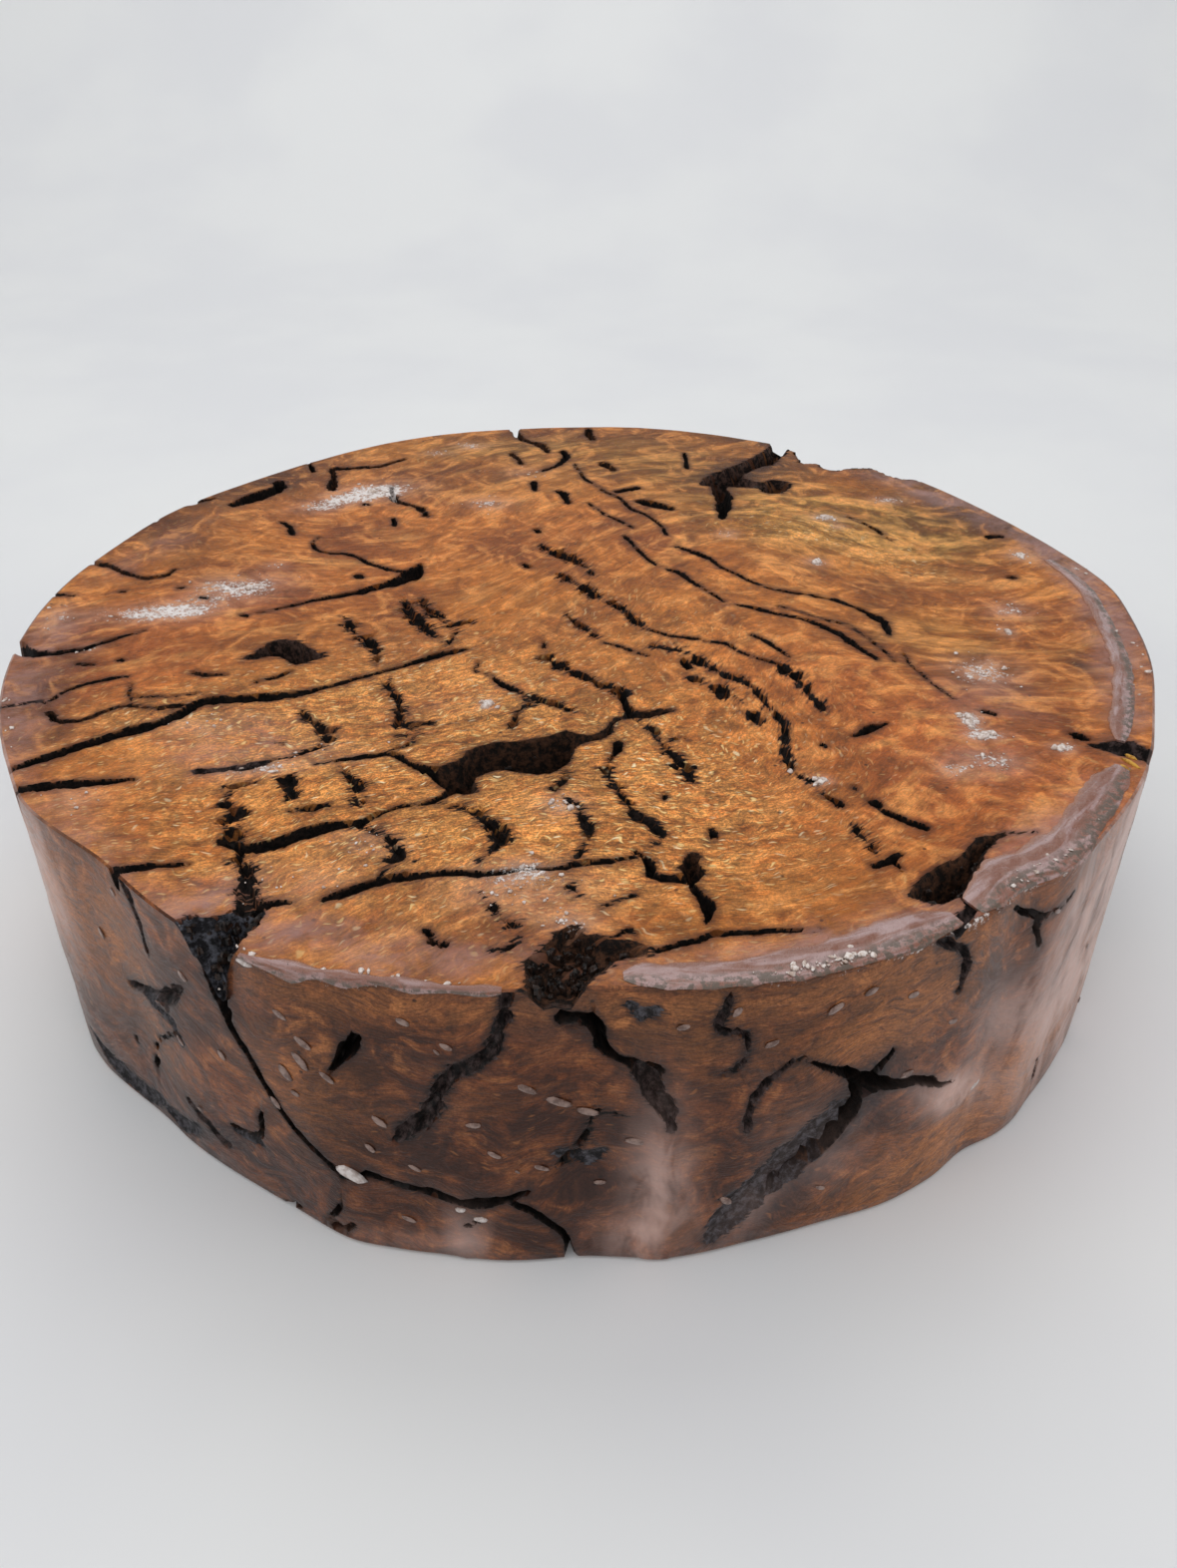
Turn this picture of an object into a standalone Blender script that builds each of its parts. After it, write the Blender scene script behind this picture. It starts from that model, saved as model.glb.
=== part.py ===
# Burl bowl blank: a thick disc sawn from a tree burl and sealed with wax.
# The wood is one solid. Its gum veins, cracks, bark pockets and missing rim are cut into it.
# The sealing wax laps over the rim onto the top face in bands, which are solids of their own.
# Plan coordinates and widths are in millimetres: +X to the right, -Y to the front, top face up.
# Azimuths are in degrees round the rim: 0 at the front (-Y), rising towards +X.

import math

import bmesh
import bpy
from mathutils import Vector

MM = 0.001

# Driving dimensions
DIAMETER = 280.0
THICKNESS = 75.0
EASED_EDGE = 0.8
RIM_FACETS = 180

# Gum veins and cracks, as multiples of their own width where no unit is given
CRACK_DEPTH_BASE = 1.6
CRACK_DEPTH_PER_WIDTH = 1.35
CRACK_FLOOR_SHARE = 0.4
CUTTER_RISE = 1.0

# Sealing wax
WAX_GAP = 0.3
WAX_THICKNESS = 0.8
WAX_EDGE_THICKNESS = 0.35

# The rim is a circle with low swells and flats: azimuth, rise, half width in degrees
SWELLS = [
    (-157, 1.2, 9),
    (-133, -1.9, 11),
    (-107, -1.2, 8),
    (-68, 0.6, 14),
    (-54, 1.2, 5),
    (-42, -1.9, 6),
    (-24, 2.9, 8),
    (1, -2.2, 6),
    (20, 1.3, 8),
    (37, -1.4, 3),
    (42, 1.2, 4),
    (70, -1.4, 8),
    (96, 1.8, 7),
    (118, -2.1, 12),
    (154, -1.0, 6),
    (172, 1.0, 6),
]

# Gum veins and cracks on the top face: x, y, width
TOP_CRACKS = {
    "long_crack": [
        (-121, -72.5, 1.2), (-110, -64, 3.2), (-104, -59.6, 3.5), (-96, -55, 3.2), (-88.6, -47, 3.3),
        (-80.7, -43.2, 3.2), (-73.6, -42.5, 3.2), (-66.4, -41.4, 2.2), (-59.3, -38, 1.6),
        (-45, -29.3, 1.4), (-35, -22.5, 2.6), (-28, -19.5, 0.8),
    ],
    "west_rim_crack": [
        (-146, -14, 3), (-139.5, -17, 3.5), (-134, -21.5, 4), (-126, -21, 2.6), (-121, -18.5, 1.8),
        (-116, -14.5, 1.6), (-109.5, -10, 1),
    ],
    "hook_crack": [
        (-83, 0, 1.2), (-73.6, 4.6, 1.6), (-66.4, 8.6, 2), (-60, 11.4, 2.6), (-54.3, 14.3, 3.5),
        (-49.3, 18, 5), (-46.4, 22, 6), (-45, 26.6, 3),
    ],
    "hook_branch": [
        (-50, 24.2, 1.6), (-54, 25.7, 1.6), (-59.3, 29.6, 1.4), (-65.7, 35, 1.4), (-75, 38, 1.2),
        (-77, 43, 1.2), (-76, 46.5, 0.9),
    ],
    "eye_over": [(-122, -45, 1), (-119, -39, 1.4), (-113, -35, 1.4), (-107, -33, 0.9)],
    "eye_under": [
        (-119, -50, 2.6), (-116, -53.6, 1.6), (-108, -49.3, 1.6), (-103, -46.4, 1.6), (-92, -46, 1.6),
    ],
    "west_dash": [(-92, -31, 1.2), (-84, -32, 1.2)],
    "star_dash": [(-75, -35, 1.4), (-69.5, -31, 1.2)],
    "west_vein": [(-144, 32, 2), (-137, 30, 2), (-130, 27.5, 2), (-120, 21, 2), (-112, 24.5, 1.6)],
    "ladder_1": [(-60, -4, 2.6), (-56.4, -11.4, 3), (-50.7, -19.3, 2.2), (-49.6, -25.7, 1.2)],
    "ladder_2": [(-46.4, 5, 2.5), (-43.6, -2, 3.2), (-40, -8, 2.8), (-37, -13, 2.4)],
    "ladder_3": [(-41.6, 7, 1.6), (-39, 1, 2.2), (-35, -4, 1.8)],
    "ladder_4": [(-33, -6.4, 2), (-29.5, -5.5, 2)],
    "ladder_5": [(-30.7, -10.7, 1.6), (-33, -16.4, 1.6)],
    "middle_1": [(-11, 41, 2.4), (-8.6, 37, 3), (-3.6, 33, 4.5), (0, 28, 3.5), (3, 22.5, 1.5)],
    "middle_2": [
        (-6.8, 23, 2), (0, 14.3, 2.8), (5.7, 7, 2.6), (13.6, -5, 1.6), (20.7, -11.8, 1.2),
        (28, -14, 1.8), (35.7, -17, 1.2), (43, -24.6, 1), (49.3, -30.7, 3), (51.4, -34.3, 2.6),
        (52, -40, 1.6), (53.6, -44.3, 2.2), (55.4, -48.5, 1),
    ],
    "middle_3": [(-4, -1.4, 1.8), (1.4, -10, 1.4), (10, -19.3, 1.2), (16, -22.5, 0.8)],
    "middle_4": [
        (18, -18.2, 1), (22, -20, 1.5), (28.6, -25.7, 2.5), (36.4, -33.6, 2.2), (42, -43, 2),
        (45, -52, 2.5), (44.3, -62, 1.2), (44.3, -70.7, 1.6), (49.6, -80.7, 1.2),
    ],
    "middle_beads": [(26.4, -33.6, 2.2), (31.4, -38, 2.6), (36, -46.4, 3), (39.3, -53, 2.4)],
    "south_beads": [(51, -83, 2.2), (55.4, -95, 1.6), (57, -100, 1.4)],
    "void_feeder": [(-8, -24.5, 3.6), (-3, -30, 3.2), (5, -37, 3), (9.3, -40, 3), (11, -50, 2.6)],
    "void_loop": [
        (-25, -27, 0.9), (-22, -32, 1.2), (-15, -39.3, 2), (-6.4, -45, 2.5), (-2, -47.4, 2.8),
    ],
    "east_vein_1": [
        (1.4, 72, 0.9), (10, 59.3, 1), (11.8, 48.2, 1.1), (16.4, 35.7, 1.2), (23, 25.7, 1.3),
        (29, 18, 1.4), (35.7, 8, 1), (45, 1.8, 1.6), (55.7, -3.6, 1.5), (64.3, -12, 1.8),
        (71.4, -25, 1.3),
    ],
    "east_vein_2": [
        (-3, 104, 1), (0.7, 91, 1.2), (7, 80.7, 1.2), (14.3, 67, 1.2), (22, 57, 1.2), (26, 41, 1.2),
        (34.3, 33.6, 1.9), (46, 17, 1.1), (54.3, 11.8, 1.5), (70, 3.6, 1.2), (75.7, -4.3, 2),
        (76.4, -13, 1),
    ],
    "east_spur": [(43, -13, 1.2), (50, -22, 1.5)],
    "west_drop": [(-45.7, -37, 1.5), (-41.4, -44.3, 2.2), (-41, -48.6, 3), (-40.4, -54, 2)],
    "west_drop_foot": [(-38.6, -54.6, 1.8), (-33.6, -53, 1.8)],
    "void_arm_west": [
        (-55.7, -70, 1), (-44.3, -67, 1.6), (-40, -66, 1.6), (-33.6, -71.8, 2.2), (-28, -74.6, 4),
    ],
    "south_west_vein": [
        (-25, -79, 1.8), (-30, -83.6, 1.4), (-40, -88, 1.4), (-50, -92, 4), (-59.3, -98, 3.5),
        (-69, -97, 2),
    ],
    "jagged_ladder": [
        (-70, -77, 2.6), (-71.4, -85, 3), (-69, -91, 3), (-68, -97, 2.6), (-64.3, -104, 3),
        (-61.4, -113.6, 3.5), (-60.5, -121, 3),
    ],
    "blunt_1": [(-61.4, -76.4, 3.2), (-59, -80.5, 3)],
    "blunt_2": [(-58, -86.4, 2), (-51.4, -85, 2)],
    "blunt_3": [(-49.3, -73.6, 2.2), (-46.4, -77, 3), (-45.7, -83.5, 2)],
    "waxed_arc": [
        (-63.6, -49, 1.4), (-57, -55, 3.2), (-55.7, -58.6, 3.2), (-60, -65.7, 1.8), (-70, -70.7, 2.2),
        (-80, -73, 2.4),
    ],
    "south_west_spur": [(-43, -93, 1.4), (-39.3, -94.3, 2), (-34.3, -101.4, 3), (-37, -106.4, 1.2)],
    "south_vein": [
        (-46.4, -114.3, 1.5), (-42, -112, 2.8), (-31.4, -108, 2.5), (-19.3, -107, 2), (-10, -105.4, 1.2),
        (-1.4, -104.3, 2), (10, -101.8, 1.2),
    ],
    "south_vein_end": [(10.7, -100, 1.4), (13.4, -106, 2), (20, -108.6, 2.8)],
    "void_foot": [
        (-27, -84, 1), (-20, -88.6, 3), (-17, -92, 4), (-15, -96.4, 4), (-19.3, -103, 1.2),
    ],
    "south_ladder": [
        (-3.2, -72, 1.5), (-5.2, -79.3, 1.8), (-0.7, -85, 1.8), (1.8, -93.6, 2.2), (-0.7, -101, 1.4),
    ],
    "south_star": [
        (8, -61, 2.4), (6.8, -67, 1.2), (5, -71.4, 2), (6.4, -76.4, 1.8), (11, -88, 2), (15, -93, 3),
        (13.6, -98, 1.4),
    ],
    "south_east_vein": [
        (13, -54, 1.6), (16.4, -56.4, 2), (18, -63.6, 1.2), (20, -67, 3), (22, -70.7, 2.5), (23, -75, 1.8),
    ],
    "oval_pit": [(21.4, -102.5, 3.2), (20.8, -107, 4.6), (22.6, -114, 2.8), (23, -120.7, 1.2)],
    "south_flick": [(-18, -113, 1.2), (-14.3, -119.3, 2), (-11.4, -121.4, 3), (-14.6, -127.5, 1.2)],
    "lip_crack": [(13.6, -128.2, 1.5), (24.3, -124, 1.5), (42.9, -122.6, 1.2)],
    "front_right_rim_vein": [(69.5, -112, 1.6), (71.6, -116.5, 2.2), (68.6, -120.4, 2.4), (66, -127, 2.6)],
    "south_east_star": [(56.4, -104.6, 1.8), (61, -101.4, 2)],
    "south_east_beads": [(59.5, -83, 2.4), (62, -87.5, 2.4), (66.4, -91.4, 2.6)],
    "south_east_tick": [(60, -58.6, 1.6), (63, -57, 2.5), (67.5, -54, 1.4)],
    "east_rim_crack": [
        (110.8, -62.6, 2), (115, -63, 5), (118.6, -64.3, 6), (122.5, -67.6, 6.4), (128, -72, 7),
    ],
    "east_pit": [(118, 45.6, 2.6), (119, 48.6, 2.6)],
    "brown_line": [(78.6, 61.4, 1.4), (85.7, 50.7, 1.8), (88, 45, 1.4)],
    "lower_left_1": [(-121, -81, 3), (-110, -78, 3), (-102, -77, 2.4), (-94, -76, 1.8)],
    "lower_left_2": [(-96, -108, 2.4), (-91, -107, 2.5), (-82, -105, 2), (-75, -104, 1.1)],
    "back_left_1": [
        (-58.6, 108.6, 1.6), (-63, 105, 2), (-73.6, 100.7, 2.2), (-80.7, 99.3, 2.6), (-78.6, 88, 2.8),
        (-78, 83, 3.2),
    ],
    "back_left_2": [(-89.3, 105, 2), (-86.4, 99, 2)],
    "back_left_3": [(-95.7, 88, 4), (-95.6, 83, 5), (-99, 78, 6.5), (-105, 71.6, 5)],
    "back_left_4": [(-60, 84.3, 2), (-56.4, 73, 2.4), (-48.6, 67, 2.5), (-47, 63, 2)],
    "back_left_5": [(-88.6, 57, 2), (-84, 49, 2)],
    "back_1": [(-23.6, 113.6, 1.8), (-20.7, 105.7, 2.2)],
    "back_2": [(-24, 142, 3), (-23.5, 134, 2.8), (-20, 126, 3), (-13, 119, 3), (-12, 115.6, 2.2)],
    "back_3": [(-7, 115.7, 2.2), (-5.7, 110.7, 2.5), (-8, 104, 2.4), (-13, 99, 1.8)],
    "back_4": [(1.4, 133.6, 2.8), (3, 127.5, 2.4)],
    "back_5": [(7, 104, 2.8), (9.3, 100.7, 2.4)],
    "back_6": [(-8, 80.7, 2.2), (-5, 73, 2.4)],
    "back_7": [(-15.7, 88.6, 2.2), (-15, 83, 2.4)],
    "back_8": [(11.4, 81.4, 2.6), (16.4, 83.6, 2.8)],
    "back_hole": [(17.6, 73.4, 3), (21.4, 70.9, 4), (25.9, 67.8, 2.8)],
    "back_fork": [(42.6, 92, 4), (42, 82, 5), (43, 74, 4.6), (41, 61.5, 3)],
    "back_fork_line": [(33.6, 103, 1.6), (33, 114, 1.4)],
}

# Wide openings: depth, size of the floor against the mouth, point the floor is drawn in to, outline.
# All open into the top face; those drawn in to a point off the disc open through the rim as well.
POCKETS = {
    "star_hole": (7, 0.6, (-72, -20), [
        (-81.8, -24.3), (-78.6, -18), (-75.7, -15), (-71.4, -15), (-68.6, -17), (-62, -23),
        (-66.4, -25.7), (-69.3, -26.8), (-73, -23.6), (-78.6, -24.2),
    ]),
    "central_void": (15, 0.8, (-12, -66), [
        (-30.7, -75), (-30, -71.4), (-26.4, -68.6), (-23.6, -64.3), (-19.3, -61.8), (-12, -60.7),
        (-7, -58.6), (-3.6, -57), (0.7, -58), (5, -57), (7, -52), (11.4, -49.3), (20.7, -47.6),
        (15.7, -51.4), (8.4, -53), (6.2, -59.3), (0, -62), (-1.4, -65.7), (-3.6, -71.4),
        (-8.6, -73.8), (-15.7, -72), (-21.4, -73.6), (-21, -80), (-26.4, -80.9),
    ]),
    "back_fork_arms": (13, 0.85, (56, 96), [
        (69, 121), (63, 106), (56, 100.6), (50, 93), (56, 89), (60, 90.6), (65, 87), (62.6, 81),
        (57, 79.4), (54, 84.4), (46, 85), (37, 86.4), (38, 92), (45.6, 100), (53, 107.6), (60, 117),
        (64, 124),
    ]),
    "front_right_pocket": (12, 0.75, (71, -107), [
        (61, -113.6), (62, -110.7), (65.7, -107), (71, -103.4), (75, -99.6), (77, -96.4), (82, -94.6),
        (89.3, -93.6), (82.4, -96.2), (79.4, -99.4), (77.8, -103), (75, -107), (72.8, -111.4),
        (69.5, -114.4), (65, -115.4),
    ]),
    "front_left_notch": (19, 0.3, (-71, -135), [
        (-74.4, -124), (-71.4, -119.6), (-65.7, -119.4), (-59, -116), (-57, -119.6), (-59.4, -124.4),
        (-61, -131), (-65, -138), (-80, -134),
    ]),
    "front_pocket": (7, 0.72, (-3, -147), [
        (-10.4, -144), (-10.2, -135), (-9.4, -130.7), (-5.7, -127), (-1.6, -121.2), (1.2, -123.8),
        (5.9, -125.4), (13.2, -128.4), (7, -130.6), (3.2, -135), (0.6, -139), (0.4, -144),
    ]),
    "far_right_dent": (60, 0.3, (118, 128), [
        (66, 140), (65.2, 121), (66.4, 118), (69.6, 116), (70, 108), (71.4, 105.4), (75.5, 104.6),
        (77.4, 100), (81, 99), (84.6, 100.8), (92.9, 100.6), (94.6, 97.4), (98, 93.6), (104, 90.2),
        (122, 88), (140, 120), (110, 150),
    ]),
}

# Gum veins and cracks on the wall: azimuth, height, width
WALL_CRACKS = {
    "wall_notch_tail": [
        (-28.3, 62, 4.5), (-27.4, 54, 2.6), (-26, 44, 2), (-24, 34, 1.8), (-21, 25.5, 1.8),
        (-18.6, 21.6, 2.4), (-14, 21, 1.6), (-9.5, 17.5, 1.8), (-7.6, 18.6, 3), (-4, 22, 1.4),
    ],
    "wall_branch": [(-5.4, 18.6, 2), (-2.5, 12, 2), (-1, 5, 2), (-0.8, -3, 2)],
    "wall_pocket_tail": [
        (-1, 66, 3.4), (1.4, 62, 2.6), (2.5, 58, 2.6), (5, 54, 3.2), (5.8, 46, 3), (7, 41, 3),
    ],
    "wall_left_vein": [
        (-5.2, 73, 2.8), (-6.4, 60, 3), (-9.5, 53.5, 3.6), (-11, 45, 3.6), (-14, 35, 2.2),
    ],
    "wall_opening": [(-16.3, 61, 2), (-17.6, 55.6, 3.2), (-18.5, 51, 2)],
    "wall_hook": [(10.5, 72, 1.4), (10, 64.5, 1.4), (12.2, 61, 1.5), (11.9, 56, 1.5), (10, 54, 1.3)],
    "wall_right_drop": [(15.5, 54, 1.6), (13.3, 46, 2), (13, 37, 1.6)],
    "wall_right_vein": [
        (16.5, 55, 1.2), (18.5, 51, 1.8), (20.5, 47, 2.6), (22.4, 43, 5), (25, 39.5, 3),
        (28, 36.5, 2.4), (32.5, 30, 1.2),
    ],
    "wall_right_foot": [
        (21.8, 37.5, 3), (21, 32, 3), (18.8, 25, 3), (16.4, 18, 3), (13, 12, 2.6), (10.6, 4, 2.2),
    ],
    "wall_far_right": [(36, 70, 1.4), (39, 65.5, 1.8), (39.4, 59, 1.4)],
    "wall_under_lip": [(27.8, 79, 2.6), (28.4, 73, 2.5), (30.3, 67, 2.2), (30.3, 58, 1.6)],
    "wall_left_rim": [(-39, 78, 2.5), (-37.4, 70, 2.4), (-37, 60, 1.4)],
    "wall_left_arc": [(-32.5, 56, 2.4), (-36, 48, 3), (-42, 42, 2.4)],
    "wall_left_low": [(-33, 11, 3), (-36.5, 16, 3.4)],
    "wall_front_low": [(-26.5, 29, 1.6), (-28, 20, 2), (-31, 18, 1.6)],
    "wall_east_rim": [(60.6, 78, 6), (60, 66, 3.4), (58.4, 50, 1.4)],
    "wall_west_rim": [(-83.4, 78, 3.4), (-83, 66, 2.6), (-80, 54, 2.2), (-82, 42, 1.8), (-77, 30, 1.4)],
    "wall_west_low": [(-108, 36, 1.4), (-101, 28, 2.6), (-95, 26, 2.2), (-92, 14, 1.4)],
    "wall_back_left": [
        (-127, 70, 1.6), (-129, 62, 2.8), (-125, 52, 2.6), (-127.5, 40, 2), (-122, 28, 1.8), (-119, 16, 1.2),
    ],
    "wall_back": [(-170, 78, 3), (-171, 66, 2.8), (-167, 56, 2.2), (-168.5, 44, 2), (-163, 34, 1.4)],
    "wall_back_low": [
        (178, 40, 1.4), (172, 30, 2.8), (166, 27, 3.2), (160, 19, 2.2), (159, 8, 1.8), (160, -3, 1.8),
    ],
    "wall_back_right": [(116, 64, 1.4), (110, 50, 2.6), (104, 44, 3), (98, 34, 2), (99, 24, 1.4)],
    "wall_back_dash": [(140, 14, 1.6), (146, 22, 2.6), (150, 20, 1.6)],
    "wall_east_low": [(70, 30, 1.4), (76, 22, 2.6), (84, 20, 2.4), (90, 12, 1.4)],
}

# Flats left by the saw on the lower wall: azimuth, bite at the base, height where each runs out
BASE_CHOPS = {
    "chop_front": (16.5, 2.6, 46),
    "chop_front_left": (-32, 2.4, 52),
}
CHOP_REACH = 70.0

# Bands of sealing wax on the top face along the near right rim: x, y, width
WAX_LIPS = {
    "wax_lip_front": [
        (5.2, -135.3, 2.4), (14, -133.2, 4), (25, -131.2, 4), (35.7, -128, 5), (45.7, -124.4, 6.6),
        (54, -120.6, 6), (59.4, -118.4, 3.4),
    ],
    "wax_lip_right": [
        (74, -115.2, 2.6), (77, -110.6, 6), (82, -105, 8.6), (88, -99, 9), (93, -93.8, 8.6), (97.2, -90, 8),
        (101.6, -85.6, 7.4), (105.6, -80.6, 7), (109, -75, 5.6), (111.4, -70.6, 3),
    ],
    "wax_lip_far": [
        (118, -60.4, 3), (121.2, -53.2, 5.4), (125, -44, 6), (128.2, -34, 6), (131, -24, 5.4),
        (133, -12, 4.4), (134, 0, 3.6), (134.2, 14, 2),
    ],
}

WOOD = {"color": (0.42, 0.155, 0.052, 1), "roughness": 0.5}
WAX = {"color": (0.42, 0.27, 0.23, 1), "roughness": 0.3}


def rim_radius(azimuth):
    """Radius of the rim: half the diameter plus a bell-shaped rise for each swell."""
    radius = DIAMETER / 2
    for centre, rise, spread in SWELLS:
        away = (azimuth - centre + 180) % 360 - 180
        radius += rise * math.exp(-((away / spread) ** 2))
    return radius


def rim_point(azimuth, height, inward=0.0):
    """Point on the wall at an azimuth and a height, moved in by a distance."""
    angle = math.radians(azimuth)
    radius = rim_radius(azimuth) - inward
    return Vector((radius * math.sin(angle), -radius * math.cos(angle), height)) * MM


def top_point(x, y, depth):
    """Point under the top face at a plan position."""
    return Vector((x, y, THICKNESS - depth)) * MM


def principled(name, look):
    material = bpy.data.materials.new(name)
    material.use_nodes = True
    shader = material.node_tree.nodes["Principled BSDF"]
    shader.inputs["Base Color"].default_value = look["color"]
    shader.inputs["Roughness"].default_value = look["roughness"]
    shader.inputs["Metallic"].default_value = 0.0
    return material


def finish_mesh(name, body, collection):
    """Turn a bmesh into a named object in a collection, with its faces pointing out."""
    bmesh.ops.recalc_face_normals(body, faces=body.faces)
    mesh = bpy.data.meshes.new(name)
    body.to_mesh(mesh)
    body.free()
    thing = bpy.data.objects.new(name, mesh)
    collection.objects.link(thing)
    return thing


def loft(name, sections, collection):
    """Closed loft through sections that all have the same number of corners."""
    body = bmesh.new()
    rings = [[body.verts.new(corner) for corner in section] for section in sections]
    for near, far in zip(rings, rings[1:]):
        for i in range(len(near)):
            body.faces.new((near[i - 1], near[i], far[i], far[i - 1]))
    body.faces.new(rings[0])
    body.faces.new(rings[-1])
    return finish_mesh(name, body, collection)


def sideways(path, i):
    """Unit direction across a path at one of its points."""
    before = path[max(i - 1, 0)]
    after = path[min(i + 1, len(path) - 1)]
    along_u = after[0] - before[0]
    along_v = after[1] - before[1]
    length = math.hypot(along_u, along_v)
    return -along_v / length, along_u / length


def crack_cutter(name, path, place, collection):
    """Wedge along a path: as wide as the crack at the surface and narrower at its floor."""
    sections = []
    for i, (u, v, width) in enumerate(path):
        across_u, across_v = sideways(path, i)
        floor = CRACK_DEPTH_BASE + CRACK_DEPTH_PER_WIDTH * width
        corners = []
        for side, depth in ((-1, -CUTTER_RISE), (1, -CUTTER_RISE), (1, floor), (-1, floor)):
            narrowing = 1 - (1 - CRACK_FLOOR_SHARE) * depth / floor
            reach = side * narrowing * width / 2
            corners.append(place(u + reach * across_u, v + reach * across_v, depth))
        sections.append(corners)
    return loft(name, sections, collection)


def wall_place(arc, height, depth):
    """Place a point given by its arc length round the wall, its height and its depth."""
    return rim_point(math.degrees(arc / (DIAMETER / 2)), height, depth)


def wall_path(path):
    """The path with its azimuths turned into arc lengths."""
    return [(math.radians(azimuth) * DIAMETER / 2, height, width) for azimuth, height, width in path]


def pocket_cutter(name, depth, floor_share, heart, outline, collection):
    """Flat outline above the top face, extruded down and drawn in towards the heart at the floor."""
    body = bmesh.new()
    mouth = body.faces.new([body.verts.new(top_point(x, y, -CUTTER_RISE)) for x, y in outline])
    floor_heart = top_point(*heart, depth)
    pulled = bmesh.ops.extrude_face_region(body, geom=[mouth], use_keep_orig=True)["geom"]
    for corner in [item for item in pulled if isinstance(item, bmesh.types.BMVert)]:
        corner.co.z = floor_heart.z
        corner.co = floor_heart.lerp(corner.co, floor_share)
    return finish_mesh(name, body, collection)


def base_chop_cutter(name, azimuth, bite, height, collection):
    """Cube whose inner face leans: it bites into the base and leaves the wall further up."""
    size = 2 * CHOP_REACH
    body = bmesh.new()
    bmesh.ops.create_cube(body, size=size * MM)
    bmesh.ops.translate(body, verts=body.verts, vec=(0, -CHOP_REACH * MM, 0))
    thing = finish_mesh(name, body, collection)
    thing.location = rim_point(azimuth, 0, bite)
    thing.rotation_euler = (math.atan(bite / height), 0, math.radians(azimuth))
    return thing


def make_disc(collection):
    """Cylinder with eased edges, its rim moved out and in to the measured swells and flats."""
    body = bmesh.new()
    radius = DIAMETER / 2
    bmesh.ops.create_cone(
        body, cap_ends=True, segments=RIM_FACETS, radius1=radius * MM, radius2=radius * MM,
        depth=THICKNESS * MM,
    )
    bmesh.ops.translate(body, verts=body.verts, vec=(0, 0, THICKNESS / 2 * MM))
    rims = [edge for edge in body.edges if abs(edge.verts[0].co.z - edge.verts[1].co.z) < MM]
    bmesh.ops.bevel(body, geom=rims, offset=EASED_EDGE * MM, segments=1, affect="EDGES")
    for corner in body.verts:
        azimuth = math.degrees(math.atan2(corner.co.x, -corner.co.y))
        stretch = rim_radius(azimuth) / radius
        corner.co.x *= stretch
        corner.co.y *= stretch
    disc = finish_mesh("burl_blank", body, collection)
    disc.data.materials.append(principled("burl_wood", WOOD))
    return disc


def make_cutters(collection):
    for name, path in TOP_CRACKS.items():
        crack_cutter(name, path, top_point, collection)
    for name, path in WALL_CRACKS.items():
        crack_cutter(name, wall_path(path), wall_place, collection)
    for name, (depth, floor_share, heart, outline) in POCKETS.items():
        pocket_cutter(name, depth, floor_share, heart, outline, collection)
    for name, (azimuth, bite, height) in BASE_CHOPS.items():
        base_chop_cutter(name, azimuth, bite, height, collection)
    for cutter in collection.objects:
        cutter.hide_render = True
        cutter.display_type = "WIRE"


def make_wax_lip(name, path, collection, material):
    """Band of wax lying on the top face: flat below, crowned along its middle, thin at its edges."""
    sections = []
    for i, (x, y, width) in enumerate(path):
        across_x, across_y = sideways(path, i)
        profile = (
            (-0.5, 0), (0.5, 0), (0.5, WAX_EDGE_THICKNESS), (0.2, WAX_THICKNESS),
            (-0.2, WAX_THICKNESS), (-0.5, WAX_EDGE_THICKNESS),
        )
        corners = []
        for share, rise in profile:
            reach = share * width
            corners.append(top_point(x + reach * across_x, y + reach * across_y, -WAX_GAP - rise))
        sections.append(corners)
    lip = loft(name, sections, collection)
    lip.data.materials.append(material)
    return lip


def centre_on_origin(things):
    """Move everything so that the middle of the blank's base is the origin."""
    blank = bpy.data.objects["burl_blank"]
    xs = [corner.co.x for corner in blank.data.vertices]
    ys = [corner.co.y for corner in blank.data.vertices]
    for thing in things:
        thing.location.x -= (min(xs) + max(xs)) / 2
        thing.location.y -= (min(ys) + max(ys)) / 2


for old in list(bpy.data.objects):
    bpy.data.objects.remove(old, do_unlink=True)

parts = bpy.data.collections.new("burl_bowl_blank")
cutters = bpy.data.collections.new("cracks_and_pockets")
bpy.context.scene.collection.children.link(parts)
bpy.context.scene.collection.children.link(cutters)

blank = make_disc(parts)
make_cutters(cutters)
wax = principled("sealing_wax", WAX)
for lip_name, lip_path in WAX_LIPS.items():
    make_wax_lip(lip_name, lip_path, parts, wax)
centre_on_origin(list(parts.objects) + list(cutters.objects))

cut = blank.modifiers.new("cracks_and_pockets", "BOOLEAN")
cut.operation = "DIFFERENCE"
cut.operand_type = "COLLECTION"
cut.collection = cutters
cut.solver = "EXACT"
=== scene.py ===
import math

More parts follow.
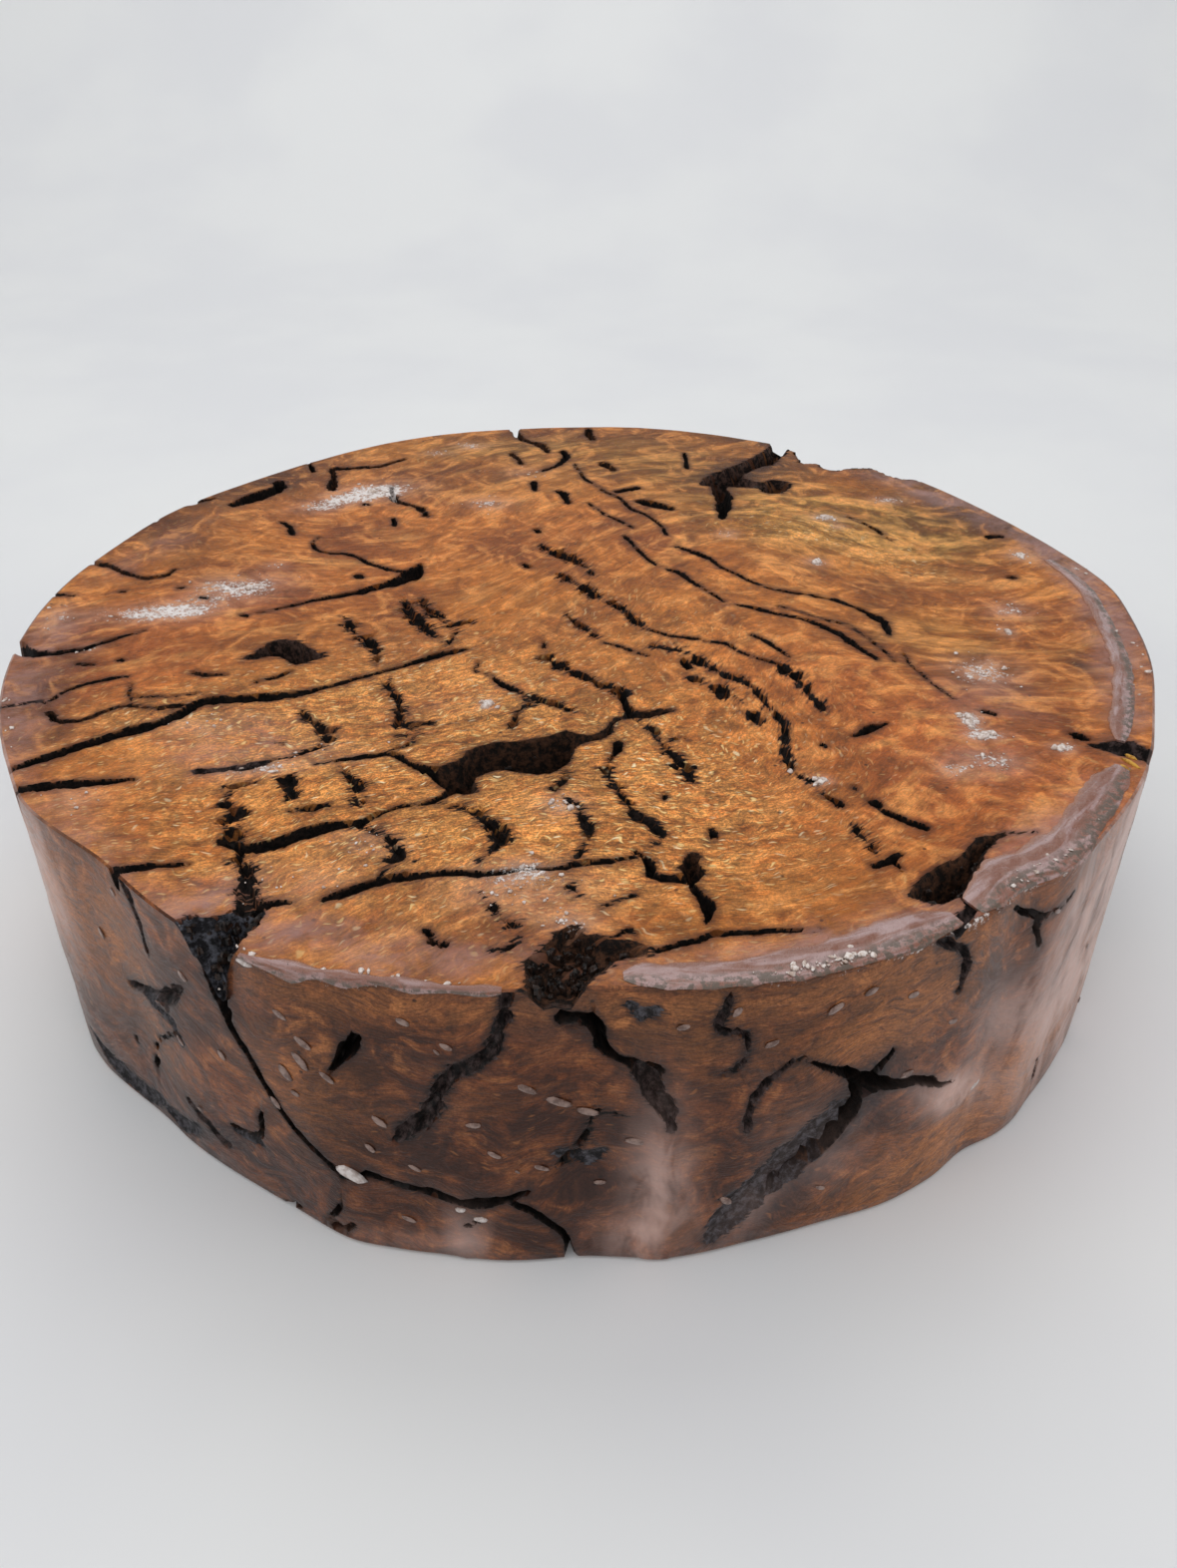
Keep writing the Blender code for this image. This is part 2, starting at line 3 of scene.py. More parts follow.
import bpy
import mathutils
import numpy as np
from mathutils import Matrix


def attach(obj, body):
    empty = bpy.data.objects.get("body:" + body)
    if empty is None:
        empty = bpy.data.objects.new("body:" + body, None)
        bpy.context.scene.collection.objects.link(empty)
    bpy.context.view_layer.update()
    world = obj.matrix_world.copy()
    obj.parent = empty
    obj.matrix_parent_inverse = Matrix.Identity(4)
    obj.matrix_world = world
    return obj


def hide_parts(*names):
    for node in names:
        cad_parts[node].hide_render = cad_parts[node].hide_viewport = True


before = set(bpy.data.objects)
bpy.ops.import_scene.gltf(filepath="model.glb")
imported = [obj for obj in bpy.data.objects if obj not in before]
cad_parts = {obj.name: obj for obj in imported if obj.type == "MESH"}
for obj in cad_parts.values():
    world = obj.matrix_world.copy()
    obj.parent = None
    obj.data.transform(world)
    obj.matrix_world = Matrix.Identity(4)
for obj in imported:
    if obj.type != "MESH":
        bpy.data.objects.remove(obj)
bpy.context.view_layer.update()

# Burl bowl blank: a disc of burl with open gum veins, cracks and bark pockets, under sealing wax.
# Plan sizes are in millimetres as on the sawn face: +x right, -y front. Azimuths are in degrees
# round the rim: 0 at the front, rising towards +x. placeInFrame() turns them into the CAD's metres.

mm = 0.001

blank = {
    "radius": 140.0,
    "thickness": 75.0,
    "easedEdge": 0.8,
    "edgeDrop": 0.25,  # the eased edge's middle lies this far in and down
    "gridSide": 234,  # points along each side of the top's grid
    "wallRows": 40,
    "baseRings": (1.0, 0.86, 0.6, 0.28),  # rings of points on the base, as shares of its radius
    "edgePull": 7.0,  # how strongly the grids close up towards the cracks' edges
    "edgePullReach": 1.5,
    "roundsOfPull": 70,
    "snapReach": 0.28,  # points as near to an edge as this slide onto it
    "leastSlope": 0.3,  # of the distances that they slide down
    # the tables of distances to the nearest opening: lows and highs along x and y, and their spacing
    "topTable": ((-150, 150), (-150, 150)),
    "wallTable": ((-440, 440), (-6, 82)),
    "tableStep": 0.4,
    "topWaves": 0.12, "topWaveSize": 11,  # slow unevenness of the sawn face, and its pitch
    "wallWaves": 0.25, "wallWaveSize": (13, 9),  # the same of the wall, round and up
    "wallInset": 0.2, "wallProud": 0.6,  # the wall lies this far in, and stands out by no more than this
    # azimuth, rise, half width in degrees of each swell of the rim
    "swells": [
        (-157, 1.2, 9), (-133, -1.9, 11), (-107, -1.2, 8), (-68, 0.6, 14), (-54, 1.2, 5), (-42, -1.9, 6),
        (-24, 2.9, 8), (1, -2.2, 6), (20, 1.3, 8), (37, -1.4, 3), (42, 1.2, 4), (70, -1.4, 8),
        (96, 1.8, 7), (118, -2.1, 12), (154, -1.0, 6), (172, 1.0, 6),
    ],
    # azimuth, bite at the base, height where each saw flat runs out
    "chops": [(16.5, 2.6, 46), (-32, 2.4, 52)],
    "chopRound": 0.8,
}

girth = math.tau * blank["radius"]  # length of the wall round the blank

# rag: how far the fibres break up the edge, in mm; depth: share of a clean crack's depth
# fill: 0 black gum, 0.5 brown bark, 1 blue-grey gum
crackKinds = {
    "open": {"rag": 0.35, "depth": 1.0, "fill": 0.0},
    "comb": {"rag": 1.9, "depth": 0.4, "fill": 0.05},  # a gum vein, toothed by the fibres that cross it
    "fine": {"rag": 0.5, "depth": 0.6, "fill": 0.0},
    "bark": {"rag": 0.7, "depth": 0.8, "fill": 0.5},
    "grey": {"rag": 0.8, "depth": 0.4, "fill": 0.75},
    "gum": {"rag": 1.2, "depth": 0.1, "fill": 0.85},  # a shallow smear
}

# how every opening is cut, in mm
relief = {
    "reach": 9.0,  # distances are worked out as far from an opening as this
    "spacing": 2.0,  # of the points along a crack or an outline
    "warp": 0.55, "warpSize": 4.5,  # slow wander of the edges, and its pitch
    "waver": 0.22, "thinnest": 0.3,  # change of width along a crack, and its least width
    "toothShift": 0.2,  # teeth reach in by this much more than out
    "toothedWidth": 2.5,  # and are full from this width
    "floor": 1.2, "floorPerWidth": 1.35,  # a clean crack's depth is floor + floorPerWidth * width
    "flank": 0.28,  # its sides go down in this share of its width
    "crumbleSize": 2.2,  # pitch of the lumps in a pocket's floor
}

# kind, then x, y, width along each crack of the sawn face
topCracks = [
    ("open", [(-121, -72.5, 1.4), (-110, -64, 3.2), (-104, -59.6, 3.5), (-96, -55, 3.2), (-91, -50, 3.4),
              (-88.6, -47, 3.6), (-85.7, -44.3, 3.6), (-80.7, -43.2, 3.4), (-73.6, -42.5, 3.2),
              (-66.4, -41.4, 2.4), (-59.3, -38, 1.6), (-52, -33.6, 1.5), (-45, -29.3, 1.4),
              (-40, -26.4, 1.8), (-35, -22.5, 2.8), (-31, -20.8, 2), (-27.5, -19.3, 0.5)]),
    ("open", [(-146, -14, 3), (-139.5, -17, 3.6), (-136, -20.5, 4), (-131, -22, 3.4), (-126, -21, 2.6),
              (-121, -18.5, 1.8), (-116, -14.5, 1.6), (-109.5, -10, 0.6)]),
    ("open", [(-83, 0, 0.8), (-73.6, 4.6, 1.5), (-66.4, 8.6, 2), (-60, 11.4, 2.6), (-54.3, 14.3, 3.5),
              (-49.3, 18, 5), (-46.4, 22, 6), (-45, 26.4, 3), (-44.6, 29, 0.6)]),
    ("fine", [(-50, 24.2, 1.8), (-54, 25.7, 1.6), (-59.3, 29.6, 1.5), (-65.7, 35, 1.3), (-71, 36, 1.2),
              (-75, 38, 1.2), (-77, 43, 1.1), (-76, 46.5, 0.6)]),
    ("fine", [(-122, -45, 0.8), (-119, -39, 1.3), (-113, -35, 1.4), (-107, -33, 1)]),
    ("fine", [(-105, -37, 0.7), (-103, -44.3, 0.8)]),
    ("bark", [(-119.4, -49.6, 2.8), (-117, -52.6, 1.8), (-112, -53, 1.5), (-108, -49.3, 1.7),
              (-103, -46.4, 1.6), (-97, -47, 1.4), (-91, -46, 1.6)]),
    ("fine", [(-102, -42.5, 0.8), (-95, -41.8, 0.8), (-89, -40.4, 0.7)]),
    ("bark", [(-92, -31, 1.2), (-88, -32, 1.6), (-84, -32, 0.8)]),
    ("open", [(-76, -35.4, 0.7), (-72, -33, 1.6), (-69, -30.4, 0.9)]),
    ("bark", [(-144, 32, 2), (-137, 30, 2), (-130, 27.5, 1.8), (-125, 24, 1.6), (-120, 21, 2),
              (-114, 21, 2), (-111.6, 25.4, 1.2)]),
    ("fine", [(-140, 10, 1.6), (-134, 10, 1)]),
    ("grey", [(-132, -46.4, 1.6), (-123.6, -44.3, 1)]),
    ("comb", [(-61, -3, 2), (-60, -4.6, 3), (-56.4, -11.4, 3.6), (-53, -15, 3.2), (-50.7, -19.3, 2.4),
              (-49.6, -25.7, 1.6)]),
    ("comb", [(-46.6, 5.6, 2.4), (-45, 2, 3.2), (-43.6, -2, 3.6), (-41.4, -6.4, 3.2), (-39.6, -9, 3),
              (-37, -13, 2.8)]),
    ("comb", [(-42, 7.6, 2), (-40.4, 3, 2.8), (-38, -1, 2.8), (-35, -4, 2.2)]),
    ("comb", [(-33.6, -6.8, 2), (-29, -5.3, 2)]),
    ("comb", [(-30.7, -9.7, 1.8), (-32, -13, 2.2), (-33.4, -17, 1.8)]),
    ("comb", [(-11.6, 41.4, 2), (-8.6, 37, 3.4), (-3.6, 33, 4.6), (0, 28, 3.6), (3.2, 22, 1.4)]),
    ("comb", [(-7, 23.4, 2.2), (-4.3, 20, 3), (0, 14.3, 3), (5.7, 7, 2.8), (11.4, 0.7, 2.2),
              (13.6, -5, 1.8), (15.7, -8.6, 1)]),
    ("fine", [(15.7, -8.6, 0.9), (20.7, -11.8, 1.1), (25, -13.2, 1.6), (28.6, -14.2, 1.4)]),
    ("fine", [(30.7, -15.7, 0.8), (35.7, -17, 1.2), (38.6, -21.4, 1), (43, -24.6, 1.1), (46.4, -26.4, 1.6)]),
    ("comb", [(46.4, -26.8, 1.8), (49.3, -30.7, 3.2), (51.4, -34.3, 2.8), (52, -40, 1.9),
              (53.6, -44.3, 2.4), (55.6, -48.6, 1.2)]),
    ("comb", [(-4.4, -1, 1.8), (-1.4, -5.7, 2), (1.4, -10, 1.8), (4.3, -14.3, 1.4)]),
    ("fine", [(5.7, -16.4, 0.8), (10, -19.3, 1), (16, -22.5, 0.6)]),
    ("comb", [(17, -17.6, 1), (22, -20, 1.8), (26.4, -22, 2.2), (28.6, -25.7, 2.8), (31.4, -28.6, 2.4)]),
    ("comb", [(31.4, -28.6, 2), (33, -31.4, 2), (36.4, -33.6, 2.2), (39.3, -37, 2), (42, -43, 2.2),
              (43, -48, 1.6), (45, -52, 2.6), (45.2, -57, 2), (44.3, -62, 1)]),
    ("comb", [(43.8, -64.4, 1.4), (44, -70, 1.8), (45.7, -74.3, 1.2), (48.6, -77, 1.6), (49.8, -81, 1)]),
    ("open", [(24.6, -25.4, 2.6), (25.6, -28.4, 2.6)]),
    ("comb", [(26, -33, 1.8), (28, -35.2, 2)]),
    ("comb", [(30, -36.6, 2.4), (33, -40.4, 3), (34.6, -43.6, 2.4)]),
    ("comb", [(35.6, -45.6, 2.6), (38, -50, 3), (39.6, -53, 2)]),
    ("open", [(51, -82.6, 1.6), (52.4, -84.4, 2.2)]),
    ("comb", [(54.3, -91.4, 1.2), (55.4, -95, 2), (57, -100, 1.6)]),
    ("comb", [(-8.6, -23.8, 3.4), (-6, -27, 4), (-3, -30, 2.6), (0.7, -33, 2.4), (5, -37, 3.2),
              (9.3, -40, 3)]),
    ("open", [(9.3, -40, 2.6), (10, -44.3, 1.6), (11.4, -50, 2.6)]),
    ("fine", [(-25, -26.4, 0.7), (-25.4, -30.7, 0.9), (-22, -32, 1.1), (-19.3, -35.7, 1.8),
              (-15, -39.3, 2)]),
    ("comb", [(-15, -39.3, 2.2), (-10, -43, 2.4), (-6.4, -45, 2.8), (-2.4, -47.4, 3)]),
    ("comb", [(-10.4, -44.4, 1.4), (-14, -48, 1.8), (-15, -52, 1.6), (-15.4, -55.6, 1)]),
    ("fine", [(1.4, 72, 0.8), (7, 63, 1), (10, 59.3, 1.2), (14.3, 53.6, 1)]),
    ("fine", [(11.8, 48.2, 1.1), (14.3, 42, 1.4), (16.4, 35.7, 1.3), (20.4, 28.6, 1.2)]),
    ("fine", [(23, 25.7, 1.2), (26.4, 23, 1.6), (29, 18, 1.6), (32, 13.6, 1.1), (35.7, 8, 0.9),
              (37, 5.7, 0.8)]),
    ("fine", [(40, 4.3, 1.2), (45, 1.8, 1.8), (50, -0.7, 1.4), (55.7, -3.6, 1.4), (60, -7, 1.7),
              (64.3, -12, 2), (68, -19.3, 1.8), (71.6, -25.4, 1.2)]),
    ("fine", [(50.7, 3.6, 0.7), (57, -0.6, 0.8), (63, -5, 1), (67, -7, 0.8), (69.6, -11.4, 0.8),
              (73.6, -20, 1), (75.2, -25.6, 0.6)]),
    ("fine", [(-3, 104, 0.9), (-1.4, 97, 1), (0.7, 91, 1.2), (4.3, 86.4, 1.2), (7, 80.7, 1.1),
              (11.4, 75.7, 1.2), (14.3, 67, 1.3), (18.6, 63, 1.2), (22, 57, 1.1), (24.3, 49, 0.9)]),
    ("fine", [(26.4, 40.6, 1), (30, 38, 1.7), (34.3, 33.6, 2), (38, 26.4, 1.2), (42, 22, 1.2),
              (46, 17, 0.9), (50, 13.6, 1), (54.3, 11.8, 1.5), (60, 10, 1.2), (66.4, 6.4, 1.4),
              (70, 3.6, 1)]),
    ("fine", [(70, 3.6, 1), (72.5, 0.4, 2), (75.7, -4.3, 2.4), (77, -9.3, 2), (76.4, -13, 0.8)]),
    ("fine", [(78, -22, 0.5), (80, -31, 0.6), (84, -40, 0.5), (85.5, -43, 0.4)]),
    ("fine", [(42.4, -12.4, 0.9), (46.4, -17, 1.5), (50.4, -22.6, 1)]),
    ("open", [(-16, 28.6, 1.8), (-15.4, 27.2, 1.8)]),
    ("open", [(-13.4, 52, 1.8), (-12.6, 50.6, 2)]),
    ("open", [(-9.6, -16.6, 1), (-9.6, -18.6, 1)]),
    ("comb", [(-45.9, -36.4, 1.4), (-43.6, -40.7, 2), (-41.4, -44.3, 2.6), (-41, -48.6, 3.4),
              (-40.4, -54, 2.4)]),
    ("comb", [(-39, -54.8, 1.6), (-33.2, -52.8, 2)]),
    ("comb", [(-40.2, -58.6, 1.4), (-35.4, -59.4, 1.8)]),
    ("fine", [(-36.4, -61.4, 0.8), (-40, -64.3, 0.9)]),
    ("open", [(-56.4, -70.2, 0.6), (-50, -68, 1.2), (-44.3, -67, 1.6), (-40, -66, 1.6), (-37, -69.3, 1.8),
              (-33.6, -71.8, 2.4), (-29, -74, 4)]),
    ("open", [(-25.4, -79, 2), (-30, -83.6, 1.4), (-35.7, -85, 1), (-40, -88, 1.4), (-44.3, -91, 2.2),
              (-50, -92, 4), (-54.3, -94.3, 3.8), (-59.3, -98, 3.6), (-65.7, -98.6, 2.6),
              (-69.6, -97, 2.4)]),
    ("comb", [(-74, -78.4, 2), (-70, -78, 3.4)]),
    ("comb", [(-71.4, -81, 3), (-71.6, -85, 3.4), (-68.6, -88, 3.2), (-70.6, -91, 3), (-68, -94.6, 3),
              (-66.6, -98.6, 3)]),
    ("comb", [(-65.7, -101.4, 3), (-64.3, -104, 3.4), (-62, -107.6, 3.6), (-61.4, -113.6, 3.8),
              (-60.6, -119, 3)]),
    ("comb", [(-61.4, -76, 3.2), (-59, -81, 3.4)]),
    ("open", [(-58.6, -86.6, 0.8), (-55, -86, 2.2), (-51, -84.8, 0.9)]),
    ("comb", [(-49.3, -73.4, 2), (-46.4, -77, 3.2), (-46, -80, 2.4)]),
    ("comb", [(-47, -82, 2), (-44.6, -84.4, 1.6)]),
    ("comb", [(-63.6, -48.6, 1.2), (-61.4, -51.4, 1.8)]),
    ("comb", [(-58.6, -54, 2.6), (-56, -57, 3.2), (-55.7, -60, 3)]),
    ("comb", [(-56.6, -63, 2.4), (-60, -65.9, 2), (-65.7, -68.6, 1.8)]),
    ("grey", [(-65.7, -68.6, 1.6), (-70, -70.7, 2.2), (-75.7, -71.8, 2.2), (-80.6, -73, 2.6)]),
    ("fine", [(-66.8, -61.8, 1), (-64.6, -62.2, 1)]),
    ("comb", [(-43.6, -92.8, 1), (-39.3, -94.3, 2.2), (-36.4, -98, 2.8), (-34.3, -101.4, 3.2),
              (-35.7, -104.3, 2.4), (-37.2, -106.8, 1)]),
    ("open", [(-47, -114.6, 1.2), (-42, -112, 3), (-37, -109, 2.4), (-31.4, -108, 2.6), (-25.7, -106.8, 2),
              (-19.3, -107, 2), (-14.3, -106.4, 1.4), (-10, -105.4, 1), (-4.3, -105.4, 1.4),
              (-1.4, -104.3, 2), (4.3, -103, 1.6), (10.7, -101.6, 1)]),
    ("open", [(10.7, -100, 1), (13.6, -103.6, 1.8), (13.2, -107, 2), (16.4, -108.6, 2), (20, -108.6, 3)]),
    ("comb", [(-27.4, -84.8, 0.8), (-23.6, -85.7, 1.8), (-20, -88.6, 3.2), (-17, -92, 4.2),
              (-15, -96.4, 4.2), (-16.4, -99.6, 2.4), (-19.6, -103.4, 0.8)]),
    ("comb", [(-3.2, -72.6, 1.5), (-3.6, -76.4, 1.7), (-5.7, -79.3, 1.4), (-3, -82, 2.2), (-0.7, -85, 1.6),
              (0.4, -89.3, 1.8), (1.8, -93.6, 2.4), (1, -98, 1.4), (-0.7, -102, 1.4), (-3, -104.6, 1)]),
    ("open", [(8, -61.6, 2.2), (8.2, -64, 2.4), (6.8, -67, 0.8)]),
    ("comb", [(6.4, -68.4, 1), (5, -71.4, 2.2), (6.4, -76.4, 2), (8.6, -81.4, 2), (11, -88, 2.2),
              (13.6, -90, 2)]),
    ("comb", [(13.6, -90, 2.2), (15, -93, 3.2), (16.4, -95.7, 2.4), (13.6, -98.4, 1)]),
    ("comb", [(13, -53.6, 1.2), (16.4, -56.4, 2.2), (16.8, -60, 0.8)]),
    ("comb", [(17.6, -62.6, 1), (20, -67, 3.2), (22, -70.7, 2.8), (23, -75.4, 1.8)]),
    ("fine", [(18, -60.7, 0.9), (22.4, -59.8, 0.9)]),
    ("bark", [(21.4, -102.6, 3.4), (21, -105.4, 4.6), (21, -108, 3)]),
    ("open", [(20, -108.6, 2), (22, -113.6, 2.2), (23.4, -116, 3), (23, -121, 1)]),
    ("comb", [(-2.4, -110.6, 2), (-0.6, -112.4, 2)]),
    ("fine", [(3.6, -116.2, 0.9), (10.2, -113.4, 0.8)]),
    ("comb", [(-18.2, -112.6, 0.9), (-16.4, -115.7, 1.6), (-14.3, -119.3, 2.2), (-11.4, -121.4, 3),
              (-11.4, -125.7, 2), (-15, -128.4, 1)]),
    ("open", [(-27.4, -123.4, 2), (-26.6, -124, 1.6)]),
    ("bark", [(-26.4, -126.2, 2), (-23.6, -126.6, 2)]),
    ("open", [(-59.3, -116.4, 2.2), (-56, -115.8, 2.4), (-52.9, -115.7, 1.2)]),
    ("open", [(13.4, -128.2, 1.2), (21.4, -125.7, 1.5), (24.3, -124, 1.6), (31.4, -123.6, 1.5),
              (42.9, -122.8, 0.8)]),
    ("fine", [(6.6, -124.6, 1), (8.8, -123, 1.4), (10, -124.6, 0.8)]),
    ("grey", [(69.5, -112.4, 2), (71.6, -116.5, 2.4), (69.4, -119.4, 2.6), (67.4, -122.4, 2.6),
              (66, -127, 2.6)]),
    ("open", [(56, -104.8, 1.4), (59.3, -103, 2), (61.4, -101.2, 1.4)]),
    ("open", [(59.3, -103, 1.6), (60.8, -106, 1)]),
    ("open", [(59.4, -83.4, 2), (60.6, -84.6, 2.4)]),
    ("open", [(61.6, -87.2, 1.8), (63.8, -89.6, 2.2)]),
    ("open", [(65, -90.6, 2.2), (68, -92.2, 2.2)]),
    ("open", [(59.6, -58.7, 1), (63, -57, 2.6), (65, -55.4, 2.2), (67.8, -53.8, 0.7)]),
    ("open", [(26, -93.4, 1.6), (26, -95.2, 1.6)]),
    ("open", [(52.5, -62.5, 1.2), (53, -63, 1)]),
    ("fine", [(56.4, -78.2, 0.9), (56.6, -79.2, 0.9)]),
    ("fine", [(17.5, -81.6, 0.9), (17.5, -82.6, 0.9)]),
    ("open", [(91, -48.6, 2), (92.8, -49.4, 1.8)]),
    ("open", [(107.6, -57.8, 1.6), (109, -59, 3), (110.4, -59.6, 1.6)]),
    ("grey", [(111, -62.6, 2), (115, -63, 5), (118.6, -64.3, 6.4), (122.5, -67.6, 7), (128, -72, 7.4)]),
    ("bark", [(115.4, 20.6, 1.8), (116, 20.2, 1.8)]),
    ("open", [(116.6, 46.6, 2.2), (120, 47.6, 2.4)]),
    ("bark", [(78.6, 61.4, 0.9), (83, 55.7, 1.5), (85.7, 50.7, 1.6), (88, 45, 0.9)]),
    ("open", [(-121, -81, 3.2), (-110, -78, 3.2), (-102, -77, 2.4), (-93.4, -76, 1)]),
    ("open", [(-96, -108, 2.4), (-91, -107, 2.6), (-82, -105, 2), (-74.6, -104, 0.7)]),
    ("bark", [(-58.6, 108.6, 1.6), (-63, 105, 2), (-66.4, 102, 2.2), (-73.6, 100.7, 2.4),
              (-80.7, 99.3, 2.8), (-79.3, 95, 2.4), (-78.6, 88, 3), (-78, 83, 3.4)]),
    ("open", [(-89.6, 105.6, 1.4), (-86.2, 98.4, 2)]),
    ("open", [(-95.7, 88.6, 3.4), (-95, 83, 5), (-98.6, 78.6, 7), (-102, 75, 6), (-105.6, 71, 4)]),
    ("bark", [(-60, 84.6, 1.8), (-58, 77, 2.4), (-56.4, 73, 2.4), (-52, 70, 2), (-48.6, 67, 2.6),
              (-46.8, 62.4, 2)]),
    ("open", [(-66.4, 70.7, 1.6), (-65.4, 70.9, 1.6)]),
    ("fine", [(-56.4, 60.4, 1.2), (-55, 55.4, 1.8)]),
    ("fine", [(-88.8, 57.4, 1.4), (-85.7, 54, 2), (-83.8, 48.6, 1.8)]),
    ("bark", [(-134, 44, 3), (-131, 51, 3.4), (-127, 59, 2.6)]),
    ("bark", [(-120.6, 71.4, 3), (-113.4, 75.4, 1.6)]),
    ("bark", [(-23.6, 114, 1.6), (-22, 110, 2), (-20.4, 105, 2.2)]),
    ("bark", [(-24, 142, 3), (-23.5, 134, 2.8), (-20, 126.6, 3), (-15, 123, 3), (-13, 119, 3),
              (-12, 115.6, 2.2)]),
    ("bark", [(1.4, 137, 3), (1.6, 132, 2.8), (3, 127.4, 2.4)]),
    ("fine", [(-7, 116, 2.2), (-5.7, 110.7, 2.6), (-8, 104, 2.4), (-13, 98.6, 1.6)]),
    ("bark", [(6.8, 104.4, 2.8), (9.4, 100.2, 2.6)]),
    ("fine", [(-8.2, 81, 2), (-5.7, 78, 2.6), (-5, 72.6, 2)]),
    ("fine", [(-15.7, 89, 2.2), (-15, 82.6, 2.2)]),
    ("fine", [(11, 81, 2.4), (16.8, 83.8, 2.8)]),
    ("open", [(17.6, 73.4, 3), (21.4, 70.9, 4.4), (25.9, 67.8, 2.8)]),
    ("open", [(42.6, 93, 4.4), (42, 82, 5.4), (43, 74, 4.8), (41, 61, 2.6)]),
    ("fine", [(33.4, 101, 1.8), (33, 114, 1.4)]),
    ("fine", [(-60.9, 21.9, 2), (-60.4, 20.6, 2.4)]),
    ("fine", [(-100, 8.8, 1.8), (-98.6, 8.4, 2)]),
    ("fine", [(-87, -1.2, 1.6), (-86, -1.6, 1.6)]),
    ("fine", [(-122.4, 12, 1.4), (-121.6, 12, 1.4)]),
    ("fine", [(-107.4, 14, 1.4), (-106.6, 14, 1.4)]),
    ("bark", [(-121, -27, 1.6), (-117.4, -27, 1.4)]),
    ("fine", [(-111.4, -25, 1.4), (-110.6, -25, 1.4)]),
]

# the pockets of the sawn face: depth, slope (how far in the floor begins), fill, rag, outline. Those with
# a heart are funnels that narrow towards that point as they go down, and lie at full depth within share
# of the way from it to the outline. The rest are pits with a crumbly floor.
topPockets = [
    {"depth": 7, "slope": 1.6, "fill": 0.7, "rag": 1.3, "outline": [
        (-82.4, -24.2), (-79.6, -20.4), (-78.6, -18), (-75.7, -15), (-71.4, -15), (-68.6, -17),
        (-65, -20.7), (-61.4, -22.8), (-66.4, -25.7), (-69.3, -26.8), (-73, -23.6), (-78.6, -24)]},
    {"depth": 14, "slope": 3.4, "fill": 0.35, "rag": 0.7, "outline": [
        (-31, -75), (-30, -71.4), (-26.4, -68.6), (-23.6, -64.3), (-19.3, -61.8), (-12, -60.7),
        (-7, -58.6), (-3.6, -57), (0.7, -58.4), (5, -57), (7, -52), (11.4, -49.3), (15.7, -48.4),
        (21.4, -47.8), (15.7, -51), (8, -52.6), (6, -59.3), (0, -61.8), (-1.4, -65.7), (-3.6, -71),
        (-8.6, -73.8), (-15.7, -72), (-20.4, -73.8), (-22, -76), (-21, -80.4), (-26.4, -80.9)]},
    {"depth": 9, "slope": 3, "fill": 0.7, "rag": 1.5, "outline": [
        (69, 121), (63, 106), (56, 100.6), (50, 93), (56, 89), (60, 90.6), (65, 87), (62.6, 81),
        (57, 79.4), (54, 84.4), (46, 85), (37, 86.4), (38, 92), (45.6, 100), (53, 107.6), (60, 117),
        (64, 124)]},
    {"depth": 11, "slope": 3.4, "fill": 0.45, "rag": 0.8, "outline": [
        (60.7, -113.6), (62, -110.7), (65.7, -107), (68.6, -104.3), (71.4, -103), (75, -99.3),
        (77, -96.4), (82, -94.8), (89.6, -93.8), (82.2, -95.9), (79.3, -98.8), (77.4, -102.4),
        (75, -105.6), (74.3, -109.3), (70.7, -113), (67, -115.7), (64.3, -115.7)]},
    {"depth": 19, "heart": (-71, -135), "share": 0.3, "fill": 0.9, "rag": 0.8, "outline": [
        (-74.4, -124), (-71.4, -119.6), (-65.7, -119.4), (-59, -116), (-57, -119.6), (-59.4, -124.4),
        (-61, -131), (-65, -138), (-80, -134)]},
    {"depth": 4.4, "slope": 2.6, "fill": 0.4, "rag": 1.5, "outline": [
        (-8.4, -144), (-8.6, -137), (-9.8, -133), (-9, -129.6), (-5.7, -127), (-1.6, -121.2), (1.2, -123.8),
        (5.9, -125.4), (13.2, -128.4), (7, -130.6), (3.2, -135), (0.6, -139), (0.4, -144)]},
    {"depth": 60, "heart": (118, 128), "share": 0.3, "fill": 0.3, "rag": 1.2, "outline": [
        (66, 140), (65.2, 121), (66.4, 118), (69.6, 116), (70, 108), (71.4, 105.4), (75.5, 104.6),
        (77.4, 100), (81, 99), (84.6, 100.8), (92.9, 100.6), (94.6, 97.4), (98, 93.6), (104, 90.2),
        (122, 88), (140, 120), (110, 150)]},
]

